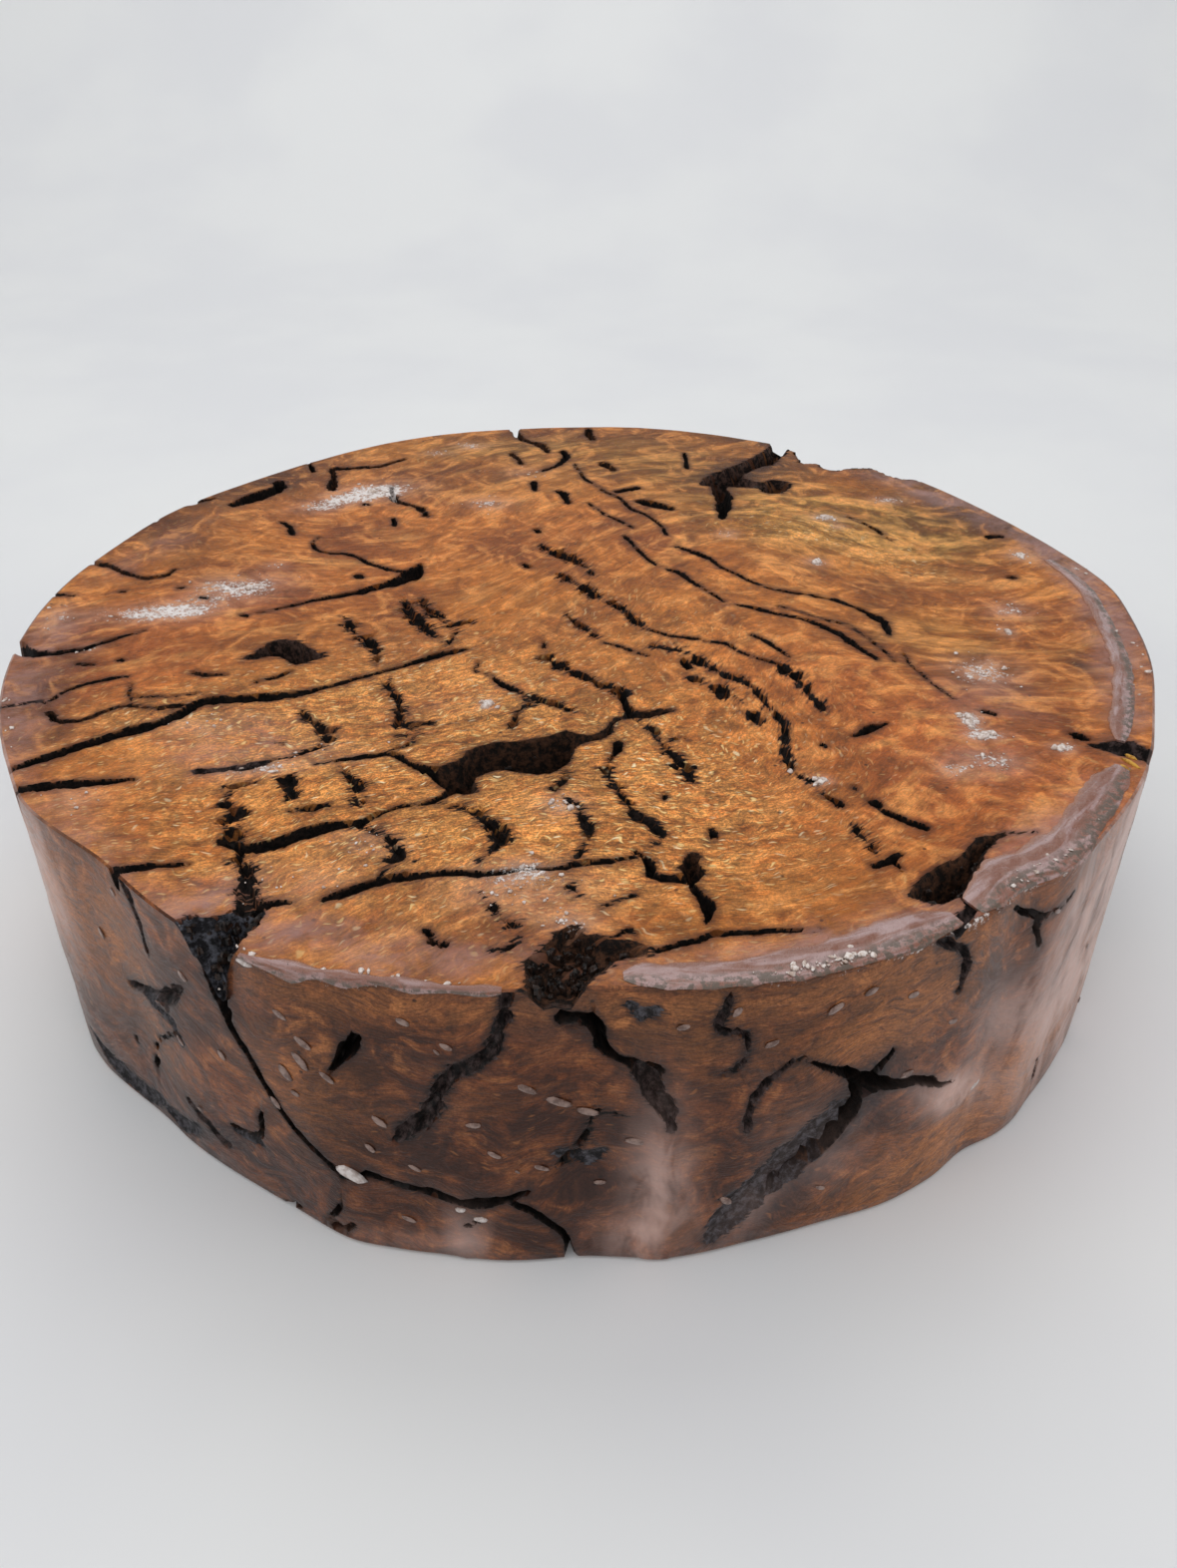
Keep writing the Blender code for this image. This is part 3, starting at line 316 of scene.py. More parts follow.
# kind, then azimuth, height, width along each crack of the wall
wallCracks = [
    ("open", [(-28.3, 66, 5), (-28, 60, 3.6), (-27, 50, 2.4), (-26, 44, 2), (-25, 39, 1.9), (-24, 34, 1.8),
              (-22.5, 29, 1.7), (-21, 25.5, 1.8), (-19, 20.8, 1.8), (-17, 22.6, 2), (-14, 21, 1.6),
              (-12, 20.3, 1.7), (-10.5, 19, 1.8), (-9.5, 17.5, 1.9), (-8, 18.5, 3.2), (-6, 20, 2.4),
              (-4, 22.4, 1)]),
    ("open", [(-5.4, 18.8, 1.8), (-4, 16, 2), (-2.5, 12, 2.2), (-1.5, 9, 1.8), (-1, 5, 2), (-0.8, -3, 2.2)]),
    ("open", [(-1.2, 68, 4), (0.8, 67, 3), (1.4, 64, 2.6), (1.5, 61, 2.6), (2.5, 58.6, 2.4),
              (4, 56.5, 2.4), (5.7, 54.6, 2.6)]),
    ("grey", [(4.4, 55, 4), (5.5, 49, 5), (6.4, 45, 4.4), (7, 40, 2.4)]),
    ("grey", [(-5, 74, 3), (-5.8, 64, 3), (-7, 58, 3.2), (-9.5, 54, 3.6), (-10.3, 50, 3.8), (-11, 45, 4.6),
              (-12, 41, 4), (-13.5, 37, 4), (-14.2, 34.6, 2)]),
    ("open", [(-16.2, 61, 1.8), (-17, 57, 3.2), (-17.8, 54, 2.6), (-18.6, 51, 1)]),
    ("grey", [(10.5, 72.6, 1.6), (10.2, 68, 1.8), (10, 64.5, 1.6), (12, 63.5, 1.6), (12.2, 60, 1.7),
              (11.9, 56, 1.6), (11, 54, 1.4), (9.8, 54.6, 1.2)]),
    ("grey", [(15.6, 54.6, 1.4), (14.5, 51, 2), (13.5, 48, 2.2), (13, 44, 1.8), (12.8, 40, 2),
              (13, 37, 1.4)]),
    ("open", [(16.5, 55, 0.9), (18.5, 51, 1.6), (20.5, 47.4, 2.6), (22, 44, 5.6), (22.8, 42.4, 6),
              (25, 39.8, 3.2), (26.6, 38, 2.6), (28, 36.5, 2.8), (31, 31.5, 1.6), (32.5, 30, 0.8)]),
    ("open", [(22.6, 44, 2), (24.6, 49.6, 1.2)]),
    ("open", [(21.8, 41, 3), (21.8, 36.6, 3.2), (21, 32, 3), (20, 28, 2.8), (18.5, 24, 2.6), (17, 20, 2.4),
              (16, 17.6, 2)]),
    ("gum", [(21, 39, 4), (19.4, 33, 9), (17.2, 26, 10.5), (14.6, 19, 10), (12.4, 12, 8), (11, 5, 4)]),
    ("gum", [(-54, 10, 3), (-50, 6, 6), (-46, 4, 7), (-42.6, 6, 3)]),
    ("gum", [(-41.4, 4.4, 3), (-39, 5, 5), (-36.4, 9, 2.4)]),
    ("gum", [(-31, 17, 2), (-28.7, 17.6, 4), (-27.4, 21, 1.6)]),
    ("gum", [(-40.4, 44, 2), (-38.3, 42.6, 4), (-35.6, 42, 4), (-34.8, 37, 1.6)]),
    ("bark", [(-26, 1, 1.6), (-24.8, 2.4, 2)]),
    ("bark", [(-21.6, 3.4, 1.8), (-20.2, 2.6, 2.6), (-18.8, 5, 1.2)]),
    ("gum", [(3.6, 71, 2), (4.6, 69, 3.4), (5.6, 70.4, 1.6)]),
    ("gum", [(-1.4, 33, 2), (0.4, 31, 3.4), (1.8, 33, 1.6)]),
    ("fine", [(36, 70.6, 1.2), (39, 65.5, 1.8), (40.5, 65, 1.4), (43, 67.7, 1)]),
    ("fine", [(39, 65.5, 1.6), (39.2, 61, 1.4), (40, 56.6, 0.8)]),
    ("grey", [(26.5, 77, 2.6), (28, 72, 2.6), (30, 68, 2.4), (30.5, 62, 2), (30.3, 57.6, 1.4)]),
    ("open", [(46, 14.4, 1.4), (46.5, 7.6, 1.6)]),
    ("bark", [(60.4, 78, 5), (59.8, 69, 3.4), (58, 60, 1.2)]),
    ("grey", [(-39, 77, 2.6), (-37.5, 71, 2.4), (-37, 65, 1.6), (-37, 59.4, 1)]),
    ("grey", [(-32.5, 56.4, 2), (-34, 53, 3), (-36, 48, 3.6), (-38, 46, 3.2), (-42, 42, 2.6)]),
    ("fine", [(-35.4, 39.4, 1), (-39, 31, 0.9)]),
    ("fine", [(-40, 27.6, 1.6), (-40.4, 26.4, 1.6)]),
    ("fine", [(-44, 23.6, 1.4), (-44, 22.4, 1.4)]),
    ("open", [(-41.2, 21.2, 2.4), (-41.8, 18.8, 2.4)]),
    ("grey", [(-32.6, 10.4, 2.6), (-34.6, 13.4, 3.6), (-36.7, 16.4, 3)]),
    ("open", [(-26.5, 29.4, 1.2), (-27, 24, 1.8), (-28, 20, 2.2), (-31, 18, 1.4)]),
    ("open", [(-20, 10.4, 1.6), (-21, 5.6, 1.4)]),
    ("comb", [(3.3, 42.8, 1), (2, 44.2, 1.1), (1, 43, 1.1), (0.5, 39, 1.3), (0, 35, 1.2), (-1, 31, 1.1),
              (-2, 28.6, 0.8)]),
    ("fine", [(-8.4, 12, 1.4), (-9.2, 11.2, 1.4)]),
    ("bark", [(60.4, 66, 2), (59, 56, 1.6), (58.4, 50, 1)]),
    ("bark", [(-83.4, 78, 3.6), (-83, 66, 2.8), (-80, 54, 2.4), (-82, 42, 1.8), (-77, 30, 1)]),
    ("open", [(-108, 36, 0.9), (-101, 28, 2.6), (-95, 26, 2.4), (-92, 14, 1)]),
    ("grey", [(-127, 70.6, 1.2), (-129, 62, 2.8), (-125, 52, 2.8), (-127.5, 40, 2.2), (-122, 28, 1.8),
              (-119, 15.6, 0.9)]),
    ("bark", [(-170, 78, 3.2), (-171, 66, 2.8), (-167, 56, 2.4), (-168.5, 44, 2), (-163, 33.6, 1)]),
    ("open", [(178, 40.4, 1), (172, 30, 2.8), (166, 27, 3.4), (160, 19, 2.2), (159, 8, 1.8), (160, -3, 2)]),
    ("open", [(116, 64.6, 1), (110, 50, 2.6), (104, 44, 3.2), (98, 34, 2), (99, 23.6, 1)]),
    ("grey", [(139.6, 13.6, 1.2), (146, 22, 2.8), (150.4, 19.8, 1.2)]),
    ("open", [(69.6, 30.4, 1), (76, 22, 2.8), (84, 20, 2.6), (90.4, 11.6, 1)]),
    ("comb", [(-62, 52, 1), (-59, 44, 2.4), (-60, 36, 2.4), (-57, 28, 1.2)]),
    ("comb", [(-146, 58, 1), (-143, 50, 2.6), (-144.6, 42, 2)]),
    ("comb", [(128, 56, 1), (131, 48, 2.4), (129.4, 40, 2.2)]),
    ("comb", [(80, 60, 1), (83, 54, 2.4), (82, 46, 2)]),
]


# numpy helpers

def valueNoise(x, y, seed):  # corners of a unit lattice get a fixed random height, blended by 3t^2 - 2t^3
    cellX, cellY = np.floor(x), np.floor(y)
    blendX, blendY = x - cellX, y - cellY
    blendX = blendX * blendX * (3 - 2 * blendX)
    blendY = blendY * blendY * (3 - 2 * blendY)

    def corner(stepX, stepY):  # the fraction of a large multiple of a sine is as good as random
        swing = np.sin((cellX + stepX) * 12.9898 + (cellY + stepY) * 78.233 + seed * 37.719) * 43758.5453
        return swing - np.floor(swing)

    near = corner(0, 0) * (1 - blendX) + corner(1, 0) * blendX
    far = corner(0, 1) * (1 - blendX) + corner(1, 1) * blendX
    return near * (1 - blendY) + far * blendY


def roughNoise(x, y, seed):  # two octaves of value noise, from -1 to 1
    return (valueNoise(x, y, seed) * 2 + valueNoise(x * 2.3, y * 2.3, seed + 5)) / 1.5 - 1


def smoothStep(value, low, high):  # 0 below low, 1 above high, 3t^2 - 2t^3 between
    share = np.clip((value - low) / (high - low), 0, 1)
    return share * share * (3 - 2 * share)


def smoothPath(points, step, closed=False):
    # Catmull-Rom: p(t) = (2b + (c-a)t + (2a-5b+4c-d)t^2 + (3b-a-3c+d)t^3) / 2, about every step mm
    points = np.array(points, float)
    if closed:
        ring = np.vstack([points[-1:], points, points[:2]])
    else:
        ring = np.vstack([2 * points[:1] - points[1:2], points, 2 * points[-1:] - points[-2:-1]])
    pieces = []
    for a, b, c, d in zip(ring[:-3], ring[1:-2], ring[2:-1], ring[3:]):
        count = max(2, int(np.ceil(np.hypot(*(c - b)[:2]) / step)) + 1)
        t = np.linspace(0, 1, count)[:-1, None]
        pieces.append((2 * b + (c - a) * t + (2 * a - 5 * b + 4 * c - d) * t ** 2
                       + (3 * b - a - 3 * c + d) * t ** 3) / 2)
    if not closed:
        pieces.append(points[-1:])
    return np.vstack(pieces)


def pathGap(x, y, path, reach):
    # distance to the nearest segment, less half the width there; also gives that width
    gap, width = np.full(x.shape, float(reach)), np.ones(x.shape)
    for start, end in zip(path[:-1], path[1:]):
        alongX, alongY = end[0] - start[0], end[1] - start[1]
        length = max(alongX ** 2 + alongY ** 2, 1e-9)
        t = np.clip(((x - start[0]) * alongX + (y - start[1]) * alongY) / length, 0, 1)
        across = start[2] + (end[2] - start[2]) * t
        away = np.hypot(x - start[0] - t * alongX, y - start[1] - t * alongY) - across / 2
        closer = away < gap
        gap, width = np.where(closer, away, gap), np.where(closer, across, width)
    return gap, width


def outlineGap(x, y, outline):  # distance to the nearest side, negative inside by the even-odd rule
    gap, inside = np.full(x.shape, 1e9), np.zeros(x.shape, bool)
    for start, end in zip(outline, np.roll(outline, -1, axis=0)):
        alongX, alongY = end - start
        length = max(alongX ** 2 + alongY ** 2, 1e-9)
        t = np.clip(((x - start[0]) * alongX + (y - start[1]) * alongY) / length, 0, 1)
        gap = np.minimum(gap, np.hypot(x - start[0] - t * alongX, y - start[1] - t * alongY))
        crosses = (start[1] > y) != (end[1] > y)
        rise = alongY if abs(alongY) > 1e-9 else 1e-9
        inside ^= crosses & (x < start[0] + (y - start[1]) * alongX / rise)
    return np.where(inside, -gap, gap)


def funnelDepth(x, y, pocket, outline):
    # along the ray from the heart h through the point p to the outline's q: t = (1 - |ph|/|qh|) / (1 - share)
    heartX, heartY = pocket["heart"]
    rayX, rayY = x - heartX, y - heartY
    stretch = np.full(x.shape, 1e9)
    for start, end in zip(outline, np.roll(outline, -1, axis=0)):
        sideX, sideY = end - start
        cross = rayX * sideY - rayY * sideX
        cross = np.where(np.abs(cross) < 1e-9, 1e-9, cross)
        t = ((start[0] - heartX) * sideY - (start[1] - heartY) * sideX) / cross
        s = ((start[0] - heartX) * rayY - (start[1] - heartY) * rayX) / cross
        hit = (t > 0.999) & (s >= 0) & (s <= 1)
        stretch = np.where(hit & (t < stretch), t, stretch)
    return pocket["depth"] * np.clip((1 - 1 / stretch) / (1 - pocket["share"]), 0, 1)


def measureCracks(x, y, cracks, pockets, seed, grainAt):
    # gap to the nearest opening in mm, negative inside, with its rag, fill and depth, at each point;
    # the fibres bite into a ragged opening by rag * combTeeth
    x, y = x.ravel(), y.ravel()
    teeth = combTeeth(*grainAt(x, y))
    reach, spacing, pitch = relief["reach"], relief["spacing"], relief["warpSize"]
    warpedX = x + relief["warp"] * roughNoise(x / pitch, y / pitch, seed)
    warpedY = y + relief["warp"] * roughNoise(x / pitch, y / pitch, seed + 9)
    result = {name: np.zeros(x.shape) for name in ("rag", "fill", "depth")}
    result["gap"] = np.full(x.shape, reach)

    def nearTo(path):  # the points in the path's box, widened by reach
        (lowX, lowY), (highX, highY) = path[:, :2].min(0) - reach, path[:, :2].max(0) + reach
        return np.flatnonzero((x > lowX) & (x < highX) & (y > lowY) & (y < highY))

    def keep(near, gap, rag, fill, depth):
        closer = gap < result["gap"][near]
        for name, value in (("gap", gap), ("rag", rag), ("fill", fill)):
            result[name][near] = np.where(closer, value, result[name][near])
        result["depth"][near] = np.maximum(result["depth"][near], depth)

    for number, (kind, points) in enumerate(cracks):
        look = crackKinds[kind]
        path = smoothPath(points, spacing)
        steps = np.arange(len(path)) * 0.8
        waver = 1 + relief["waver"] * roughNoise(steps, np.full(len(path), number * 3.1), seed)
        path[:, 2] = np.maximum(path[:, 2], relief["thinnest"]) * waver
        near = nearTo(path)
        gap, width = pathGap(warpedX[near], warpedY[near], path, reach)
        bite = teeth[near] + relief["toothShift"]
        gap = gap + look["rag"] * bite * np.minimum(width / relief["toothedWidth"], 1.2)
        floor = (relief["floor"] + relief["floorPerWidth"] * width) * look["depth"]
        depth = floor * np.clip(-gap / (relief["flank"] * width + 0.05), 0, 1) ** 0.8
        keep(near, gap, look["rag"], look["fill"], depth)
    for pocket in pockets:
        outline = smoothPath(pocket["outline"], spacing, closed=True)
        near = nearTo(outline)
        px, py = warpedX[near], warpedY[near]
        gap = outlineGap(px, py, outline) + pocket["rag"] * 0.6 * teeth[near]
        if "heart" in pocket:
            depth = np.where(gap < 0, funnelDepth(px, py, pocket, outline), 0)
            crumble = np.clip(depth, 0, 3) * 0.45
        else:
            depth = pocket["depth"] * smoothStep(-gap, 0, pocket["slope"])
            crumble = depth * 0.3
        depth += crumble * roughNoise(px / relief["crumbleSize"], py / relief["crumbleSize"], seed + 3)
        keep(near, gap, pocket["rag"], pocket["fill"], np.maximum(depth, 0))
    return result


def tableOfGaps(reaches, cracks, pockets, seed, grainAt):  # the gap at each point of a regular table
    x, y = np.meshgrid(*[np.arange(low, high + 0.1, blank["tableStep"]) for low, high in reaches])
    return measureCracks(x, y, cracks, pockets, seed, grainAt)["gap"].reshape(x.shape)


def gridLookup(table, x, y, reaches):  # bilinear reading of a regular table
    (lowX, _), (lowY, _) = reaches
    column = np.clip((x - lowX) / blank["tableStep"], 0, table.shape[1] - 1.001)
    row = np.clip((y - lowY) / blank["tableStep"], 0, table.shape[0] - 1.001)
    i, j = row.astype(int), column.astype(int)
    v, u = row - i, column - j
    return ((table[i, j] * (1 - u) + table[i, j + 1] * u) * (1 - v)
            + (table[i + 1, j] * (1 - u) + table[i + 1, j + 1] * u) * v)


def foldTurn(x, wrap):  # brings a length round the wall within half a turn of the front
    return (x - wrap / 2) % wrap - wrap / 2 if wrap else x


def closeUp(x, y, gaps, reaches, wrap=0.0):
    # each inner point moves to its four neighbours' mean, weighted by 1 + pull * exp(-(gap/reach)^2)
    # at the middle of each edge; wrap is the length after which the columns repeat
    pull = 1 + blank["edgePull"] * np.exp(-(gaps / blank["edgePullReach"]) ** 2)
    for _ in range(blank["roundsOfPull"]):
        if wrap:
            wideX = np.hstack([x[:, -1:] - wrap, x, x[:, :1] + wrap])
            wideY = np.hstack([y[:, -1:], y, y[:, :1]])
        else:
            wideX, wideY = x, y
        alongX = (wideX[:, 1:] + wideX[:, :-1]) / 2
        alongY = (wideY[:, 1:] + wideY[:, :-1]) / 2
        upX, upY = (x[1:] + x[:-1]) / 2, (y[1:] + y[:-1]) / 2
        along = gridLookup(pull, foldTurn(alongX, wrap), alongY, reaches)
        up = gridLookup(pull, foldTurn(upX, wrap), upY, reaches)
        inner = slice(None) if wrap else slice(1, -1)
        left, right = along[1:-1, :-1], along[1:-1, 1:]
        below, above = up[:-1, inner], up[1:, inner]
        total = left + right + below + above
        for wide, flat in ((wideX, x), (wideY, y)):
            mean = (left * wide[1:-1, :-2] + right * wide[1:-1, 2:]
                    + below * flat[:-2, inner] + above * flat[2:, inner]) / total
            flat[1:-1, inner] = mean
    return x, y


def snapToEdges(x, y, gaps, reaches):  # points near an edge slide onto it, down the slope of the gaps
    slopeY, slopeX = np.gradient(gaps, blank["tableStep"])
    gap, steepX, steepY = (gridLookup(table, x, y, reaches) for table in (gaps, slopeX, slopeY))
    steep = np.maximum(np.hypot(steepX, steepY), blank["leastSlope"])
    move = np.where(np.abs(gap) < blank["snapReach"], -gap, 0)
    return x + move * steepX / steep ** 2, y + move * steepY / steep ** 2


def rimRadius(azimuth):  # half the diameter plus a bell, rise * exp(-(away/spread)^2), for each swell
    radius = np.full(np.shape(azimuth), blank["radius"])
    for centre, rise, spread in blank["swells"]:
        away = (azimuth - centre + 180) % 360 - 180
        radius = radius + rise * np.exp(-(away / spread) ** 2)
    return radius


def wallRadius(azimuth, height):
    # the rim's radius, cut back by each flat's leaning plane: r - k ln(1 + exp((r - plane) / k))
    radius = rimRadius(azimuth)
    soft = blank["chopRound"]
    for centre, bite, top in blank["chops"]:
        turn = np.cos(np.radians(azimuth - centre))
        plane = rimRadius(np.array([float(centre)]))[0] - bite + height * bite / top
        cut = radius - plane / np.maximum(turn, 0.5)
        radius = radius - np.where(turn > 0.5, soft * np.logaddexp(0, cut / soft), 0)
    return radius


# the CAD's origin is under the middle of the outline's box, whose facets stand at every second degree
facetAzimuths = np.radians(np.arange(0, 360, 2.0))
facetRadii = rimRadius(np.degrees(facetAzimuths))
outlineX, outlineY = facetRadii * np.sin(facetAzimuths), -facetRadii * np.cos(facetAzimuths)
centreX = (outlineX.min() + outlineX.max()) / 2
centreY = (outlineY.min() + outlineY.max()) / 2


def alongWall(azimuth):  # mm round the wall from the front
    return np.radians(azimuth) * blank["radius"]


def roundOut(radius, azimuth):  # the plan place at that radius and azimuth, in degrees
    return radius * np.sin(np.radians(azimuth)), -radius * np.cos(np.radians(azimuth))


def placeInFrame(x, y, z):
    return np.stack([np.ravel(x) - centreX, np.ravel(y) - centreY, np.ravel(z)], 1) * mm


blobEdge = {"noise": 0.3, "size": 5.0}  # how far the soft zones' strength wanders, and its pitch in mm


def softBlobs(x, y, blobs, seed):
    # strength * exp(-(along/length)^2 - (across/breadth)^2) added up, with a noisy outline
    total = np.zeros(np.shape(x))
    for centreU, centreV, length, breadth, turn, strength in blobs:
        cos, sin = math.cos(math.radians(turn)), math.sin(math.radians(turn))
        along = (x - centreU) * cos + (y - centreV) * sin
        across = (y - centreV) * cos - (x - centreU) * sin
        total += strength * np.exp(-(along / length) ** 2 - (across / breadth) ** 2)
    size = blobEdge["size"]
    return np.clip(total * (1 + blobEdge["noise"] * roughNoise(x / size, y / size, seed)), 0, 1)


def newPiece(name, points, faces, materials, smooth=True, sharpAngle=None):
    mesh = bpy.data.meshes.new(name)
    mesh.from_pydata(points.tolist(), [], faces)
    mesh.validate()
    mesh.polygons.foreach_set("use_smooth", np.full(len(mesh.polygons), smooth))
    if sharpAngle:
        mesh.set_sharp_from_angle(angle=math.radians(sharpAngle))
    piece = bpy.data.objects.new(name, mesh)
    bpy.context.scene.collection.objects.link(piece)
    for material in materials:
        mesh.materials.append(material)
    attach(piece, "root")
    return piece


def storeValues(mesh, name, values, domain="POINT"):
    kind = "FLOAT_VECTOR" if values.ndim == 2 else "FLOAT"
    attribute = mesh.attributes.new(name, kind, domain)
    attribute.data.foreach_set("vector" if values.ndim == 2 else "value", values.astype(np.float32).ravel())


# the wood: one closed surface of top, wall and base

# the fibres' lie in degrees, and the length and pitch in mm of the teeth that they make of an edge
fibres = {"lie": 22, "toothLength": 6.5, "toothPitch": 1.35}

# slow noise that bends the fibres: pitch along and across, bend, all in mm, and seed
fibreBends = [(30, 17, 3.2, 4), (9, 6, 0.8, 6)]

# noise that bends the wall's contour lines: pitch, rise, both in mm, shears of x and y, seed
contourBends = [(40, 15, 0.7, -0.5, 11), (15, 5, -0.5, 0.6, 13)]

# a turn of the grain about each eye of the burl: x, y, radius, degrees
grainEyes = [(75, 40, 62, 54), (-20, 60, 48, -34), (-70, -20, 40, 16), (15, -95, 34, 26),
             (-95, 75, 34, 40), (62, -70, 40, -16), (110, -20, 34, 30), (-52, -96, 26, -22)]

# x, y, half length, half breadth, turn, strength of the soft zones of the sawn face
topZones = {
    "gold": [(-35, -88, 58, 34, 8, 1), (-62, -48, 36, 20, 14, 0.8), (2, -64, 34, 26, 0, 0.8),
             (-28, -28, 34, 18, 20, 0.5), (22, -98, 26, 22, 0, 0.7), (-100, -52, 16, 10, 20, 0.5),
             (20, 0, 30, 12, -30, 0.25), (62, 52, 28, 9, -24, 0.55), (88, 26, 18, 8, -30, 0.5)],
    "red": [(-112, -34, 26, 22, 20, 0.7), (84, -74, 44, 34, -50, 1), (58, -28, 30, 24, -40, 0.6),
            (40, -96, 26, 20, 10, 0.5), (108, -4, 16, 34, 10, 0.7), (-70, 20, 40, 22, 20, 0.5),
            (-104, -10, 24, 30, 0, 0.6), (-88, -92, 30, 16, -40, 0.6), (12, 52, 40, 24, -20, 0.35),
            (-60, 70, 40, 22, 10, 0.4)],
    "olive": [(74, 66, 44, 18, -26, 0.9), (52, 54, 30, 14, -28, 0.6), (96, 44, 22, 20, -40, 0.7),
              (90, -14, 24, 18, -20, 0.45), (-20, 118, 50, 12, 0, 0.7), (28, 100, 30, 20, 0, 0.6),
              (-30, 84, 24, 14, 0, 0.3)],
    "shade": [(132, 30, 26, 5, 103, 0.7), (114, 68, 26, 5, 122, 0.8), (89, 102, 24, 5, 140, 0.8),
              (60, 123, 20, 4, 154, 0.7), (-100, 86, 26, 14, 40, 0.9), (-116, 52, 14, 34, 24, 0.55),
              (48, 94, 24, 12, 30, 0.7), (118, 66, 14, 26, 40, 0.75), (-70, -22, 16, 9, 0, 0.35),
              (-126, -40, 13, 24, 0, 0.8), (60, 100, 18, 12, 30, 0.5), (-88, -16, 22, 7, 20, 0.3),
              (119, -26, 3, 7, 4, 0.9), (100, 58, 14, 10, 0, 0.35), (-4, 128, 60, 9, 0, 0.5),
              (-40, 100, 40, 12, 0, 0.35), (-120, -62, 22, 6, 30, 0.3), (34, 108, 24, 16, 0, 0.35),
              (-14, -66, 18, 9, 20, 0.4)],
    "veil": [(130, 30, 26, 5, 103, 0.5), (112, 67, 26, 5, 122, 0.5), (86, 101, 24, 5, 140, 0.4),
             (-131, -48, 10, 34, 14, 0.9), (-131, -11, 6, 10, 0, 0.6), (-76, -64, 14, 10, 20, 0.65),
             (-49, -124, 24, 6, -14, 0.85), (-69, -114, 10, 5, 40, 0.8), (-21, -131, 24, 5, 4, 0.5),
             (-96, -100, 20, 7, -44, 0.6), (52, -124, 22, 6, 22, 0.7), (28, -132, 26, 5, 10, 0.8),
             (92, -97, 30, 7, 44, 0.9), (126, -36, 6, 34, -12, 0.85), (134, 2, 6, 30, 0, 0.9),
             (131, 44, 6, 26, 18, 0.55), (110, 78, 22, 6, -52, 0.6), (-120, 40, 6, 22, -24, 0.35),
             (-30, -44, 16, 6, 20, 0.2), (94, -44, 12, 10, 0, 0.4), (84, -70, 12, 8, 0, 0.4)],
    "frost": [(-116, -1, 18, 5, 4, 0.6), (-101, 3, 9, 6, 10, 0.5), (-134, -6, 4, 9, 0, 0.5),
              (-72, 75, 16, 5, 28, 0.7), (-42, -98, 7, 5, 0, 0.55), (-10, -106, 8, 4, 0, 0.6),
              (-103, -83, 6, 5, 0, 0.5), (-84, -54, 12, 5, 10, 0.4), (87, -52, 3, 4.4, 0, 1),
              (88.6, -58.6, 5, 2.4, 0, 1), (104, -63.6, 3, 2.4, 0, 0.9), (87, -69, 7, 4.4, 0, 0.8),
              (78.6, -72, 3, 3, 0, 0.7), (50, -76.4, 2.4, 2, 0, 1), (106.4, -10.7, 2, 3, 0, 0.9),
              (95, -31, 9, 8, 0, 0.75), (110.7, 0.7, 6, 5, 0, 0.7), (72, 60.7, 3, 5, 80, 0.85),
              (74, 54, 3, 2.4, 0, 0.5), (93, 74, 6, 3, 0, 0.7), (122, 34, 4, 3.4, 0, 0.9),
              (135, 25, 3, 4, 0, 0.5), (64.6, 30, 3, 3.4, 0, 0.8), (41.5, 48.6, 3.4, 3, 0, 0.7),
              (-38, 121, 6, 3.4, 0, 0.7), (-48, 114, 5, 3, 0, 0.6), (-19, 97, 6, 4.4, 0, 0.45),
              (-28.6, 71.4, 8, 5, 0, 0.7), (-65, 80.7, 12, 7, 10, 0.95), (-78.6, 68, 6, 5, 0, 0.5),
              (-88.6, 14, 11, 8, 16, 0.8), (-99, 15, 6, 6, 0, 0.5), (-108, -0.7, 9, 6, 0, 0.45),
              (-84, 28, 4, 3, 0, 0.4), (-120.7, -18.6, 3, 3, 0, 0.4), (-21.4, -45.7, 2, 2.4, 0, 1),
              (-4, -85, 5, 4, 0, 0.6), (-68, -72, 8, 2.4, 10, 0.7), (-12, -112, 14, 7, 0, 0.5),
              (-52, -110, 12, 6, 0, 0.4), (-56, -66, 10, 5, 0, 0.35), (-2, -121, 6, 3, 0, 0.5),
              (36, -133, 14, 2.4, 12, 0.6), (88, -103, 12, 2, 46, 0.45)],
}

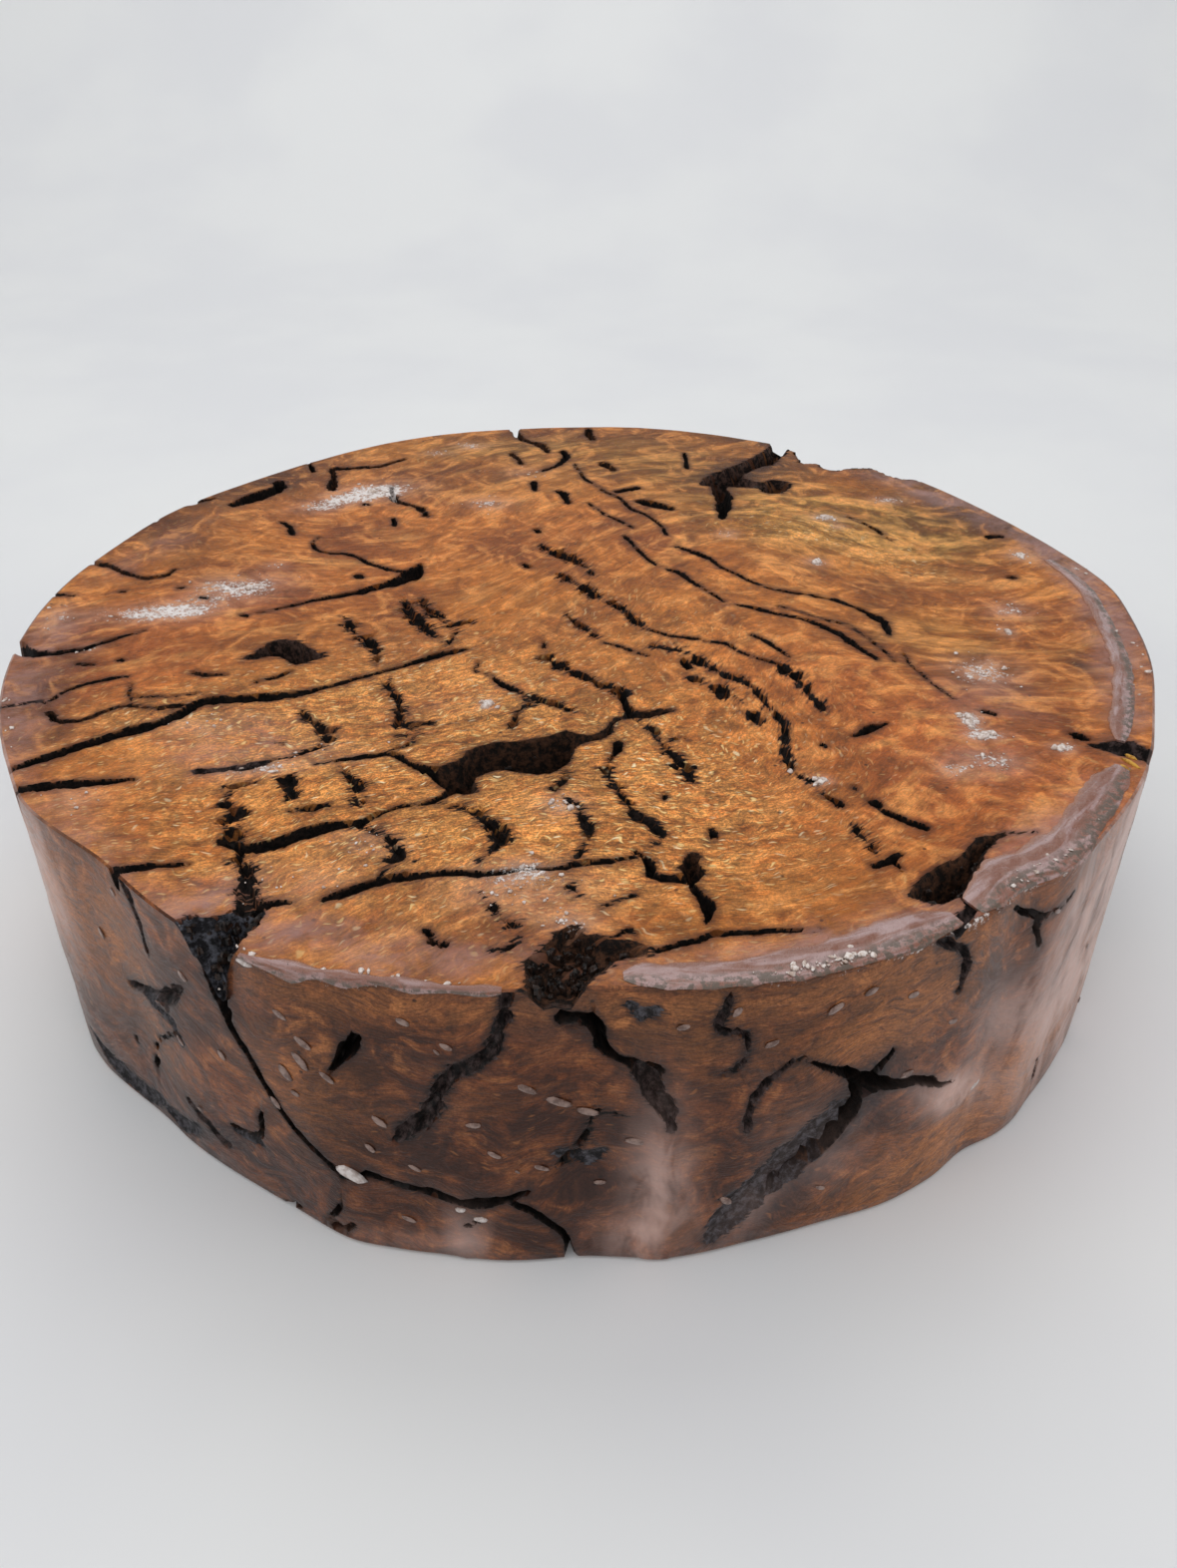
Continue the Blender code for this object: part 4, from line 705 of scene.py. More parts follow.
# azimuth, height, half length, half breadth (mm along the wall, mm up), turn, strength
wallZones = {
    # paleAndLit: pale patches of wood, and painted light that brightens the side walls
    "paleAndLit": [(24, 56, 14, 9, 10, 0.6), (34, 9, 30, 8, 14, 0.8), (-42, 56, 12, 16, 0, 0.7),
              (-38, 32, 10, 14, 0, 0.5), (26, 62, 26, 8, 4, 0.4), (8, 60, 14, 10, 0, 0.35),
              (-22, 44, 14, 18, 10, 0.45), (40, 16, 40, 12, 14, 0.9), (62, 38, 28, 40, 0, 0.7),
              (-14, 70, 40, 4, 0, 0.6), (30, 71, 50, 3.4, 0, 0.6), (-50, 50, 14, 20, 0, 0.5),
              (-58, 56, 20, 24, 0, 0.8), (-80, 46, 24, 40, 0, 0.6), (24, 54, 12, 7, 10, 0.5),
              (95, 52, 34, 12, 0, 0.5), (150, 46, 40, 14, 8, 0.5), (-110, 52, 34, 12, -6, 0.5),
              (-160, 24, 34, 12, 0, 0.45), (-75, 20, 30, 12, 6, 0.4), (5, 70, 30, 4, 0, 0.5)],
    "stain": [(21, 32, 20, 7, 62, 1), (17, 16, 18, 5, 62, 0.8), (22.6, 43, 9, 6, 30, 0.9),
              (-44, 8, 22, 7, 0, 0.85), (6, 50, 4, 9, 0, 0.5), (-11, 46, 7, 12, -24, 0.4),
              (-28, 62, 6, 12, 0, 0.6), (-36, 48, 10, 6, -20, 0.5), (-2, 68, 8, 8, 0, 0.6),
              (-24, 13, 16, 4, 6, 0.4), (-33, 13, 8, 5, 30, 0.7), (12, 60, 5, 9, 0, 0.3),
              (-127, 48, 12, 24, 0, 0.55), (-169, 54, 10, 22, 0, 0.55), (168, 26, 24, 9, 16, 0.6),
              (107, 46, 16, 14, 0, 0.55), (-98, 28, 18, 8, 0, 0.5), (80, 22, 18, 8, 0, 0.5)],
    "dark": [(-8, 15, 30, 9, 0, 0.5), (-2, 36, 30, 20, 0, 0.5), (-18, 26, 24, 9, 0, 0.5),
             (10, 30, 14, 20, 0, 0.3), (-46, 30, 14, 20, 0, 0.4), (-60, 24, 20, 24, 0, 0.5),
             (-88, 40, 30, 26, 0, 0.3), (130, 20, 40, 14, 0, 0.45), (-140, 60, 40, 12, 0, 0.4)],
    # veil: the wax's milky film, and on the side walls painted glare of light on the gloss
    "veil": [(6.6, 18, 6, 24, 3, 0.75), (-9.4, 7, 5, 8, 0, 0.5), (60, 38, 28, 44, 0, 1.7),
             (47, 34, 18, 28, -14, 0.6), (33, 26, 12, 5, -34, 1.3), (44, 60, 14, 5, 60, 0.4),
             (-80, 44, 28, 40, 0, 1.2), (-60, 56, 20, 26, 0, 1.0), (-52, 62, 5, 16, 0, 0.35),
             (14, 13, 5, 10, -30, 0.4), (-14, 4, 14, 3, 0, 0.2), (4, 6, 7, 8, 0, 0.4),
             (110, 26, 10, 26, 4, 0.6), (140, 50, 16, 22, -8, 0.5), (172, 30, 8, 30, 0, 0.6),
             (-150, 22, 12, 22, 6, 0.6), (-118, 36, 10, 34, -4, 0.6), (-96, 58, 22, 12, 0, 0.4),
             (20, 26, 8, 16, 40, 0.25), (38, 40, 14, 10, -40, 0.35), (86, 44, 16, 30, 0, 0.55)],
    "frost": [(-20, 74, 34, 1.6, 0, 0.7), (22, 74, 36, 1.5, 0, 0.55), (-18.5, 22, 3, 3, 0, 0.5),
              (40, 74.6, 30, 1.4, 0, 0.6), (4.6, 38, 5, 2.4, 30, 0.3), (31, 26, 8, 1.6, -34, 0.6),
              (120, 73, 30, 1.5, 0, 0.4), (-100, 74, 30, 1.4, 0, 0.4)],
}

# azimuth, height, width along each ridge of wax that ran down the wall, with its rise in mm
waxRidges = [
    (0.35, [(6.4, 42, 3), (6.8, 30, 5), (6.4, 16, 6), (6.2, 2, 6)]),
    (0.3, [(-9.4, 13, 2), (-9.6, 7, 3.4), (-9.5, 2, 3)]),
    (0.6, [(16, 19, 0.9), (13.2, 12, 1.4), (11.4, 7, 1.6), (10.4, 3, 1.2)]),
    (0.9, [(27, 31.4, 1.2), (29.5, 29, 2.6), (31, 25.4, 3), (32.4, 23.4, 3), (35, 22.4, 3), (36.4, 25, 2)]),
    (0.5, [(45, 17, 1.2), (49, 15, 2), (53, 18, 1.4)]),
    (0.4, [(110, 50, 3), (111, 30, 5), (110, 6, 4)]),
    (0.4, [(172, 58, 3), (171, 34, 5), (172, 8, 4)]),
    (0.4, [(-118, 60, 3), (-117, 36, 5), (-118, 10, 5)]),
    (0.5, [(-150, 34, 1.4), (-147, 28, 2.6), (-144, 27, 2.2), (-141, 30, 1.2)]),
]


def topGrain(x, y):
    # each eye turns its surroundings by degrees * exp(-(r/radius)^2), then u runs along the fibres
    # and v across them, bent by slow noise
    for eyeX, eyeY, radius, degrees in grainEyes:
        away = (x - eyeX) ** 2 + (y - eyeY) ** 2
        turn = np.radians(degrees) * np.exp(-away / radius ** 2)
        x, y = (eyeX + (x - eyeX) * np.cos(turn) - (y - eyeY) * np.sin(turn),
                eyeY + (x - eyeX) * np.sin(turn) + (y - eyeY) * np.cos(turn))
    lie = math.radians(fibres["lie"])
    along, across = x * math.cos(lie) + y * math.sin(lie), y * math.cos(lie) - x * math.sin(lie)
    bends = [bend * roughNoise(along / length, across / width, seed)
             for length, width, bend, seed in fibreBends]
    return along, across + bends[0] + bends[1]


def wallGrain(azimuth, height):
    # contour lines of height + rise * noise: closed rings where the noise peaks, waves between
    x, y = roundOut(blank["radius"], azimuth)
    contour = height
    for size, rise, shearX, shearY, seed in contourBends:
        contour = contour + rise * roughNoise((x + shearX * height) / size, (y + shearY * height) / size, seed)
    return x, y, contour


def combTeeth(along, across):  # the fibres' own noise
    return roughNoise(along / fibres["toothLength"], across / fibres["toothPitch"], 21)


def splitQuads(a, b, c, d, gap):  # two triangles each, along the diagonal whose ends have the closer gaps
    across = (np.abs(gap[a] - gap[c]) > np.abs(gap[b] - gap[d]))[:, None]
    first = np.where(across, np.stack([a, b, d], 1), np.stack([a, b, c], 1))
    second = np.where(across, np.stack([b, c, d], 1), np.stack([a, c, d], 1))
    return np.vstack([first, second])


def makeTop():
    # u, v from -1 to 1: x = u sqrt(1 - v^2/2), y = v sqrt(1 - u^2/2), out to the rim less its eased edge;
    # z = thickness - depth of the openings
    reaches = blank["topTable"]
    even = math.sqrt(2) * np.sin(np.pi * np.linspace(-1, 1, blank["gridSide"]) / 4)
    u, v = np.meshgrid(even, even)
    x, y = u * np.sqrt(1 - v ** 2 / 2), v * np.sqrt(1 - u ** 2 / 2)
    reach = rimRadius(np.degrees(np.arctan2(x, -y))) - blank["easedEdge"]
    x, y = x * reach, y * reach
    gaps = tableOfGaps(reaches, topCracks, topPockets, 1, topGrain)
    x, y = closeUp(x, y, gaps, reaches)
    snappedX, snappedY = snapToEdges(x, y, gaps, reaches)
    x[1:-1, 1:-1], y[1:-1, 1:-1] = snappedX[1:-1, 1:-1], snappedY[1:-1, 1:-1]
    found = measureCracks(x, y, topCracks, topPockets, 1, topGrain)
    waves, size = blank["topWaves"], blank["topWaveSize"]
    uneven = waves * roughNoise(x / size, y / size, 2).ravel()
    found["z"] = blank["thickness"] - found["depth"] + uneven - waves
    return x, y, found


def ringOrder(side):  # the grid's border points, counterclockwise from the front left corner
    grid = np.arange(side * side).reshape(side, side)
    return np.concatenate([grid[0], grid[1:, -1], grid[-1, -2::-1], grid[-2:0:-1, 0]])


def makeWall(azimuth, topZ):
    # rows from the rim down to the base: radius = wallRadius - depth of the cracks + wax ridges
    rows, edge, reaches = blank["wallRows"], blank["easedEdge"], blank["wallTable"]
    share = np.linspace(0, 1, rows)[:, None]
    x = np.repeat(alongWall(azimuth)[None], rows, 0)
    y = (topZ - edge)[None] * (1 - share) + edge * share
    cracks = [(kind, [(alongWall(a), z, w) for a, z, w in path]) for kind, path in wallCracks]

    def grainAt(arcs, heights):
        slowX, slowY, contour = wallGrain(np.degrees(arcs / blank["radius"]), heights)
        return slowX + slowY, contour

    gaps = tableOfGaps(reaches, cracks, [], 31, grainAt)
    x, y = closeUp(x, y, gaps, reaches, wrap=girth)
    folded = foldTurn(x, girth)
    snappedX, snappedY = snapToEdges(folded, y, gaps, reaches)
    x[1:-1] += (snappedX - folded)[1:-1]
    y[1:-1] = np.clip(snappedY[1:-1], edge, None)
    folded = foldTurn(x, girth)
    found = measureCracks(folded, y, cracks, [], 31, grainAt)
    folded, y = folded.ravel(), y.ravel()
    azimuth = np.degrees(folded / blank["radius"])
    radius = wallRadius(azimuth, y) - found["depth"]
    for rise, path in waxRidges:
        route = smoothPath([(alongWall(a), z, w) for a, z, w in path], relief["spacing"])
        ridge, _ = pathGap(folded, y, route, relief["reach"])
        radius += rise * smoothStep(-ridge, -0.9, 0.9)
    sizeRound, sizeUp = blank["wallWaveSize"]
    radius += blank["wallWaves"] * roughNoise(folded / sizeRound, y / sizeUp, 33) - blank["wallInset"]
    return azimuth, y, np.minimum(radius, rimRadius(azimuth) + blank["wallProud"]), found


def storePattern(mesh, points, faces, onWall):
    # at each face's corners: the figure's coordinates, and the masks of tone and film for its material
    planX, planY = points[:, 0] / mm + centreX, points[:, 1] / mm + centreY
    height = points[:, 2] / mm
    azimuth = np.degrees(np.arctan2(planX, -planY))
    arc = alongWall(azimuth)
    topMasks, wallMasks = {}, {}
    for number, (name, blobs) in enumerate(topZones.items()):
        topMasks[name] = softBlobs(planX, planY, blobs, 40 + number)
    for number, (name, blobs) in enumerate(wallZones.items()):
        around = [(alongWall(a), *rest) for a, *rest in blobs]
        laps = [softBlobs(arc + lap * girth, height, around, 60 + number) for lap in (-1, 0, 1)]
        wallMasks[name] = sum(laps)
    wallMasks["shade"] = height * 0  # the wall has none
    along, across = topGrain(planX, planY)
    isWall, corners = np.repeat(onWall.astype(bool), 3)[:, None], faces.ravel()

    def storeBoth(name, wallValues, topValues):
        wall, top = np.stack(wallValues, 1)[corners], np.stack(topValues, 1)[corners]
        storeValues(mesh, name, np.where(isWall, wall, top), "CORNER")

    storeBoth("figure", wallGrain(azimuth, height), (along, along * 0, across))
    storeBoth("tone", [wallMasks[name] for name in ("paleAndLit", "dark", "stain")],
              [topMasks[name] for name in ("gold", "red", "olive")])
    storeBoth("film", [wallMasks[name] for name in ("veil", "frost", "shade")],
              [topMasks[name] for name in ("veil", "frost", "shade")])


def makeWood():
    side, edge, shrinks = blank["gridSide"], blank["easedEdge"], blank["baseRings"]
    x, y, top = makeTop()
    print("wood: top grid", x.shape)
    ring = ringOrder(side)
    ringX, ringY, ringZ = x.ravel()[ring], y.ravel()[ring], top["z"][ring]
    azimuth = np.degrees(np.arctan2(ringX, -ringY))
    azimuth = np.where((np.arange(len(ring)) > len(ring) // 2) & (azimuth < 0), azimuth + 360, azimuth)
    wallAzimuth, wallZ, wallReach, wall = makeWall(azimuth, ringZ)
    print("wood: wall grid", blank["wallRows"], "x", len(ring))

    count, columns = side * side, len(ring)
    drop = blank["edgeDrop"]
    rimX, rimY = roundOut(rimRadius(azimuth) - drop, azimuth)
    baseX, baseY = roundOut(wallReach[-columns:] - edge, wallAzimuth[-columns:])
    parts = [placeInFrame(x, y, top["z"]), placeInFrame(rimX, rimY, ringZ - drop),
             placeInFrame(*roundOut(wallReach, wallAzimuth), wallZ)]
    parts += [placeInFrame(baseX * shrink, baseY * shrink, baseX * 0) for shrink in shrinks]
    points = np.vstack(parts + [placeInFrame(0, 0, 0)])

    levels = [ring]  # the rim of the top, the eased edge, the wall's rows, then the base's rings
    for level in range(1 + blank["wallRows"] + len(shrinks)):
        levels.append(count + level * columns + np.arange(columns))
    firstBase = 2 + blank["wallRows"]

    def spread(name, rest):  # one value for each point: the top's, the eased edge's, the wall's, the base's
        base = np.full(len(shrinks) * columns + 1, rest)
        return np.concatenate([top[name], top[name][ring], wall[name], base])

    gap, rag, fill = spread("gap", relief["reach"]), spread("rag", 0.0), spread("fill", 0.0)

    def band(upper, lower):
        return splitQuads(lower, np.roll(lower, -1), np.roll(upper, -1), upper, gap)

    grid = np.arange(count).reshape(side, side)
    corners = [grid[:-1, :-1], grid[:-1, 1:], grid[1:, 1:], grid[1:, :-1]]
    topFaces = splitQuads(*[corner.ravel() for corner in corners], gap)
    bands = [band(upper, lower) for upper, lower in zip(levels[:-1], levels[1:])]
    last = levels[-1]
    middle = np.stack([np.full(columns, len(points) - 1), np.roll(last, -1), last], 1)
    wallFaces, baseFaces = np.vstack(bands[:firstBase]), np.vstack(bands[firstBase:] + [middle])
    faces = np.vstack([topFaces, wallFaces, baseFaces])

    materials = [makeSawnBurl(), makeWaxedBurl()]
    wood = newPiece("burl_wood_body", points, faces.tolist(), materials, sharpAngle=50)
    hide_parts("burl_blank")
    onWall = np.zeros(len(faces), int)
    onWall[len(topFaces):len(topFaces) + len(wallFaces)] = 1
    wood.data.polygons.foreach_set("material_index", onWall)
    for name, values in (("gap", gap), ("rag", rag), ("fill", fill)):
        storeValues(wood.data, name, values)
    storePattern(wood.data, points, faces, onWall)
    print("wood:", len(faces), "triangles")


# node helpers

def feed(tree, socket, value):
    if isinstance(value, bpy.types.NodeSocket):
        tree.links.new(value, socket)
    else:
        socket.default_value = value


def addNode(tree, kind, values=None, **settings):
    node = tree.nodes.new("ShaderNode" + kind)
    for name, value in settings.items():
        setattr(node, name, value)
    for name, value in (values or {}).items():
        feed(tree, node.inputs[name], value)
    return node


def calc(tree, operation, *values, clamp=False):
    return addNode(tree, "Math", dict(enumerate(values)), operation=operation, use_clamp=clamp).outputs[0]


def times(tree, first, second, clamp=False):
    return calc(tree, "MULTIPLY", first, second, clamp=clamp)


def plus(tree, base, value, scale=1.0, clamp=False):  # base + value * scale
    return calc(tree, "MULTIPLY_ADD", value, scale, base, clamp=clamp)


def mix(tree, factor, first, second, kind="MIX"):
    values = {0: factor, 6: first, 7: second}
    return addNode(tree, "Mix", values, data_type="RGBA", blend_type=kind).outputs[2]


def layer(tree, under, over, mask, strength):  # over laid on under, as strongly as mask * strength
    return mix(tree, times(tree, mask, strength), under, over)


def darken(tree, colour, value):  # the colour times a value that changes over the surface
    grey = addNode(tree, "CombineColor", {0: value, 1: value, 2: value}).outputs[0]
    return mix(tree, 1.0, colour, grey, "MULTIPLY")


def stretch(tree, vector, x, y, z):
    return addNode(tree, "VectorMath", {0: vector, 1: (x, y, z)}, operation="MULTIPLY").outputs[0]


def noise(tree, vector, detail=2.0, rough=0.5, distortion=0.0):
    values = {"Vector": vector, "Scale": 1.0, "Detail": detail, "Roughness": rough, "Distortion": distortion}
    return addNode(tree, "TexNoise", values).outputs["Fac"]


def remap(tree, value, low, high, toLow=0.0, toHigh=1.0):  # smooth step between two values
    values = {"Value": value, "From Min": low, "From Max": high, "To Min": toLow, "To Max": toHigh}
    return addNode(tree, "MapRange", values, interpolation_type="SMOOTHSTEP").outputs["Result"]


def stored(tree, name, output="Fac"):
    return addNode(tree, "Attribute", attribute_name=name).outputs[output]


def split(tree, vector):
    return addNode(tree, "SeparateXYZ", {0: vector}).outputs


def placeInMm(tree):
    return stretch(tree, addNode(tree, "TexCoord").outputs["Object"], 1000, 1000, 1000)


def tint(red, green, blue):  # a colour as a picture shows it, 0 to 255, made linear
    shares = [value / 255 for value in (red, green, blue)]
    linear = [share / 12.92 if share < 0.0404 else ((share + 0.055) / 1.055) ** 2.4 for share in shares]
    return (*linear, 1.0)


def tints(look):  # the colours in a dictionary, without its plain numbers
    return {name: tint(*value) for name, value in look.items() if isinstance(value, tuple)}


def newGroup(name, inputs, outputs):
    tree = bpy.data.node_groups.new(name, "ShaderNodeTree")
    for label, kind in inputs:
        tree.interface.new_socket(name=label, in_out="INPUT", socket_type="NodeSocket" + kind)
    for label, kind in outputs:
        tree.interface.new_socket(name=label, in_out="OUTPUT", socket_type="NodeSocket" + kind)
    return tree, tree.nodes.new("NodeGroupInput").outputs, tree.nodes.new("NodeGroupOutput").inputs


def useGroup(tree, group, values):
    node = tree.nodes.new("ShaderNodeGroup")
    node.node_tree = group
    for name, value in values.items():
        feed(tree, node.inputs[name], value)
    return node.outputs


def newMaterial(name, **settings):  # settings go straight on the shader's own sockets
    material = bpy.data.materials.new(name)
    material.use_nodes = True
    tree = material.node_tree
    shader = tree.nodes["Principled BSDF"]
    for label, value in settings.items():
        shader.inputs[label].default_value = value
    return material, tree, shader


def addBump(tree, shader, height, strength, depth):
    bump = addNode(tree, "Bump", {"Strength": strength, "Distance": depth * mm, "Height": height})
    feed(tree, shader.inputs["Normal"], bump.outputs[0])


# shared effects

def makeRaggedEdge():  # where an opening begins, broken up by the fibres, and the dark stain beside it
    tree, given, result = newGroup(
        "raggedEdge", [("Gap", "Float"), ("Rag", "Float"), ("Figure", "Vector")],
        [("Inside", "Float"), ("Fringe", "Float")])
    figure, gap, rag = given["Figure"], given["Gap"], given["Rag"]
    teeth = calc(tree, "SUBTRACT", noise(tree, stretch(tree, figure, 0.3, 0.3, 1.5), 1.5), 0.5)
    chips = calc(tree, "SUBTRACT", noise(tree, stretch(tree, figure, 1.1, 1.1, 2.6), 1.5), 0.5)
    ragged = plus(tree, plus(tree, gap, teeth, times(tree, rag, 3.2)), chips, 0.7)
    bridges = remap(tree, noise(tree, stretch(tree, figure, 0.1, 0.1, 0.8), 1.5), 0.55, 0.6, 0.0, 0.8)
    kept = calc(tree, "SUBTRACT", 1.0, times(tree, bridges, remap(tree, rag, 1.1, 1.7)))
    hollow = calc(tree, "MAXIMUM", remap(tree, ragged, 0.06, -0.06), remap(tree, gap, 0.03, -0.1))
    feed(tree, result["Inside"], times(tree, hollow, kept))
    fringe = remap(tree, ragged, 2.4, -0.1)
    feed(tree, result["Fringe"], times(tree, fringe, fringe))
    return tree


def makeBurlFigure():  # the burl's own pattern and the cells of its painted glints, from coordinates that run with and across the fibres
    names = ("Cloud", "Patch", "Silk", "Curl", "Crease", "Fibre", "Dash", "Fleck", "Glint", "Pip", "Speckle")
    tree, given, result = newGroup("burlFigure", [("Figure", "Vector"), ("Place", "Vector")],
                                   [(name, "Float") for name in names])
    figure, place = given["Figure"], given["Place"]
    # output, what it follows, its pitch along three ways, then detail, roughness and distortion
    for name, vector, pitch, character in (
            ("Cloud", place, (0.034, 0.034, 0.05), (3, 0.55, 0.4)),
            ("Patch", place, (0.1, 0.1, 0.1), (4, 0.62, 1.3)),
            ("Silk", figure, (0.05, 0.05, 0.15), (3, 0.6, 0.9)),
            ("Curl", figure, (0.16, 0.16, 0.34), (3, 0.6, 1.4)),
            ("Fibre", figure, (0.4, 0.4, 2.3), (3, 0.68, 0.6)),
            ("Speckle", place, (1.9, 1.9, 1.9), (2, 0.7))):
        feed(tree, result[name], noise(tree, stretch(tree, vector, *pitch), *character))
    folds = calc(tree, "SUBTRACT", noise(tree, stretch(tree, figure, 0.07, 0.07, 0.26), 3, 0.62, 2.2), 0.5)
    feed(tree, result["Crease"], remap(tree, calc(tree, "ABSOLUTE", folds), 0.035, 0.0))

    def cellsOf(vector, *pitch):  # a random colour for each cell, and how far its middle is
        values = {"Vector": stretch(tree, vector, *pitch), "Scale": 1.0}
        cells = addNode(tree, "TexVoronoi", values).outputs
        return split(tree, cells["Color"]), cells["Distance"]

    bend = times(tree, noise(tree, stretch(tree, place, 0.2, 0.2, 0.2), 1), 6.0)
    bendAcross = addNode(tree, "CombineXYZ", {"X": 0.0, "Y": 0.0, "Z": bend}).outputs[0]
    bent = addNode(tree, "VectorMath", {0: figure, 1: bendAcross}, operation="ADD").outputs[0]
    feed(tree, result["Dash"], cellsOf(bent, 0.4, 0.4, 1.9)[0][2])
    # output, its cells, which of the random colours picks them, over what share, and the mark's reach
    for name, vector, pitch, channel, share, reach in (
            ("Fleck", bent, (0.42, 0.42, 1.6), 0, (0.62, 0.82), (0.42, 0.168)),
            ("Glint", bent, (0.34, 0.34, 1.1), 0, (0.76, 0.96), (0.36, 0.144)),
            ("Pip", place, (0.24, 0.24, 0.24), 1, (0.72, 0.8), (0.13, 0.06))):
        colours, distance = cellsOf(vector, *pitch)
        chosen = remap(tree, colours[channel], *share)
        feed(tree, result[name], times(tree, chosen, remap(tree, distance, *reach)))
    return tree


fillLook = {
    "gum": (12, 9, 8), "gumLump": (36, 26, 22), "bark": (20, 14, 11), "barkLump": (78, 50, 34),
    "grey": (18, 17, 20), "greyLump": (86, 88, 96),
}


def makeBarkFill():  # what shows inside an opening: black gum, brown crumbly bark or blue-grey gum
    tree, given, result = newGroup("barkFill", [("Fill", "Float"), ("Place", "Vector")],
                                   [("Colour", "Color"), ("Lumps", "Float")])
    look, fill = tints(fillLook), given["Fill"]
    lumps = noise(tree, stretch(tree, given["Place"], 0.55, 0.55, 0.55), 4, 0.7)
    black = mix(tree, remap(tree, lumps, 0.42, 0.66), look["gum"], look["gumLump"])
    brown = mix(tree, remap(tree, lumps, 0.4, 0.66), look["bark"], look["barkLump"])
    grey = mix(tree, remap(tree, lumps, 0.42, 0.68), look["grey"], look["greyLump"])
    colour = mix(tree, remap(tree, fill, 0.15, 0.45), black, brown)
    feed(tree, result["Colour"], mix(tree, remap(tree, fill, 0.6, 0.95), colour, grey))
    feed(tree, result["Lumps"], lumps)
    return tree


def makeWaxBloom():  # how far wax hides the wood: soft for a film, in grains for a frost
    tree, given, result = newGroup("waxBloom", [("Film", "Float"), ("Frost", "Float"), ("Place", "Vector")],
                                   [("Veil", "Float"), ("Grains", "Float")])
    place, frost = given["Place"], given["Frost"]
    drift = noise(tree, stretch(tree, place, 0.12, 0.12, 0.05), 3, 0.6, 0.6)
    feed(tree, result["Veil"], times(tree, given["Film"], remap(tree, drift, 0.2, 0.62), clamp=True))
    grains = noise(tree, stretch(tree, place, 0.9, 0.9, 0.9), 4, 0.75)
    edge = calc(tree, "SUBTRACT", 0.8, times(tree, frost, 0.42))
    spots = times(tree, calc(tree, "SUBTRACT", grains, edge), 9.0, clamp=True)
    feed(tree, result["Grains"], times(tree, spots, remap(tree, frost, 0.04, 0.3)))
    return tree


raggedEdge = makeRaggedEdge()
burlFigure = makeBurlFigure()
barkFill = makeBarkFill()
waxBloom = makeWaxBloom()

# the two finishes of the wood: colours as a picture shows them, then gloss, and the bump's strength and mm
sawnLook = {
    # paintedSheen is painted sheen: the satin shine of the fibres, laid into the colour
    "wood": (192, 114, 46), "deepWood": (134, 72, 30), "paintedSheen": (226, 152, 82), "gold": (228, 158, 84),
    "goldDeep": (180, 110, 52), "fleck": (250, 212, 142), "glint": (255, 238, 194), "red": (170, 88, 42),
    "olive": (138, 98, 40), "oliveLight": (228, 172, 92), "shade": (62, 34, 20), "pip": (56, 28, 16),
    "fringe": (70, 34, 16), "veil": (166, 126, 118), "haze": (206, 168, 148), "frost": (236, 228, 224),
    "specular": 0.16, "bump": 0.55, "bumpDepth": 0.5,
}

wallLook = {
    "wood": (122, 66, 34), "deepWood": (66, 34, 20), "paleAndLit": (176, 112, 64), "paintedSheen": (142, 84, 46),
    "dark": (42, 23, 18), "stain": (40, 34, 38), "fringe": (34, 20, 18), "veil": (216, 180, 168),
    "frost": (226, 214, 208), "pip": (28, 14, 10),
    "specular": 0.15, "coatRoughness": 0.14, "coatIor": 1.4, "bump": 0.4, "bumpDepth": 0.6,
}


def surfaceParts(tree):  # the effects and masks that both finishes of the wood are made from
    figure, place = stored(tree, "figure", "Vector"), placeInMm(tree)
    grain = useGroup(tree, burlFigure, {"Figure": figure, "Place": place})
    edgeValues = {"Gap": stored(tree, "gap"), "Rag": stored(tree, "rag"), "Figure": figure}
    edge = useGroup(tree, raggedEdge, edgeValues)
    fill = useGroup(tree, barkFill, {"Fill": stored(tree, "fill"), "Place": place})
    tone, film = split(tree, stored(tree, "tone", "Vector")), split(tree, stored(tree, "film", "Vector"))
    wax = useGroup(tree, waxBloom, {"Film": film[0], "Frost": film[1], "Place": place})
    return grain, edge, fill, tone, film, wax


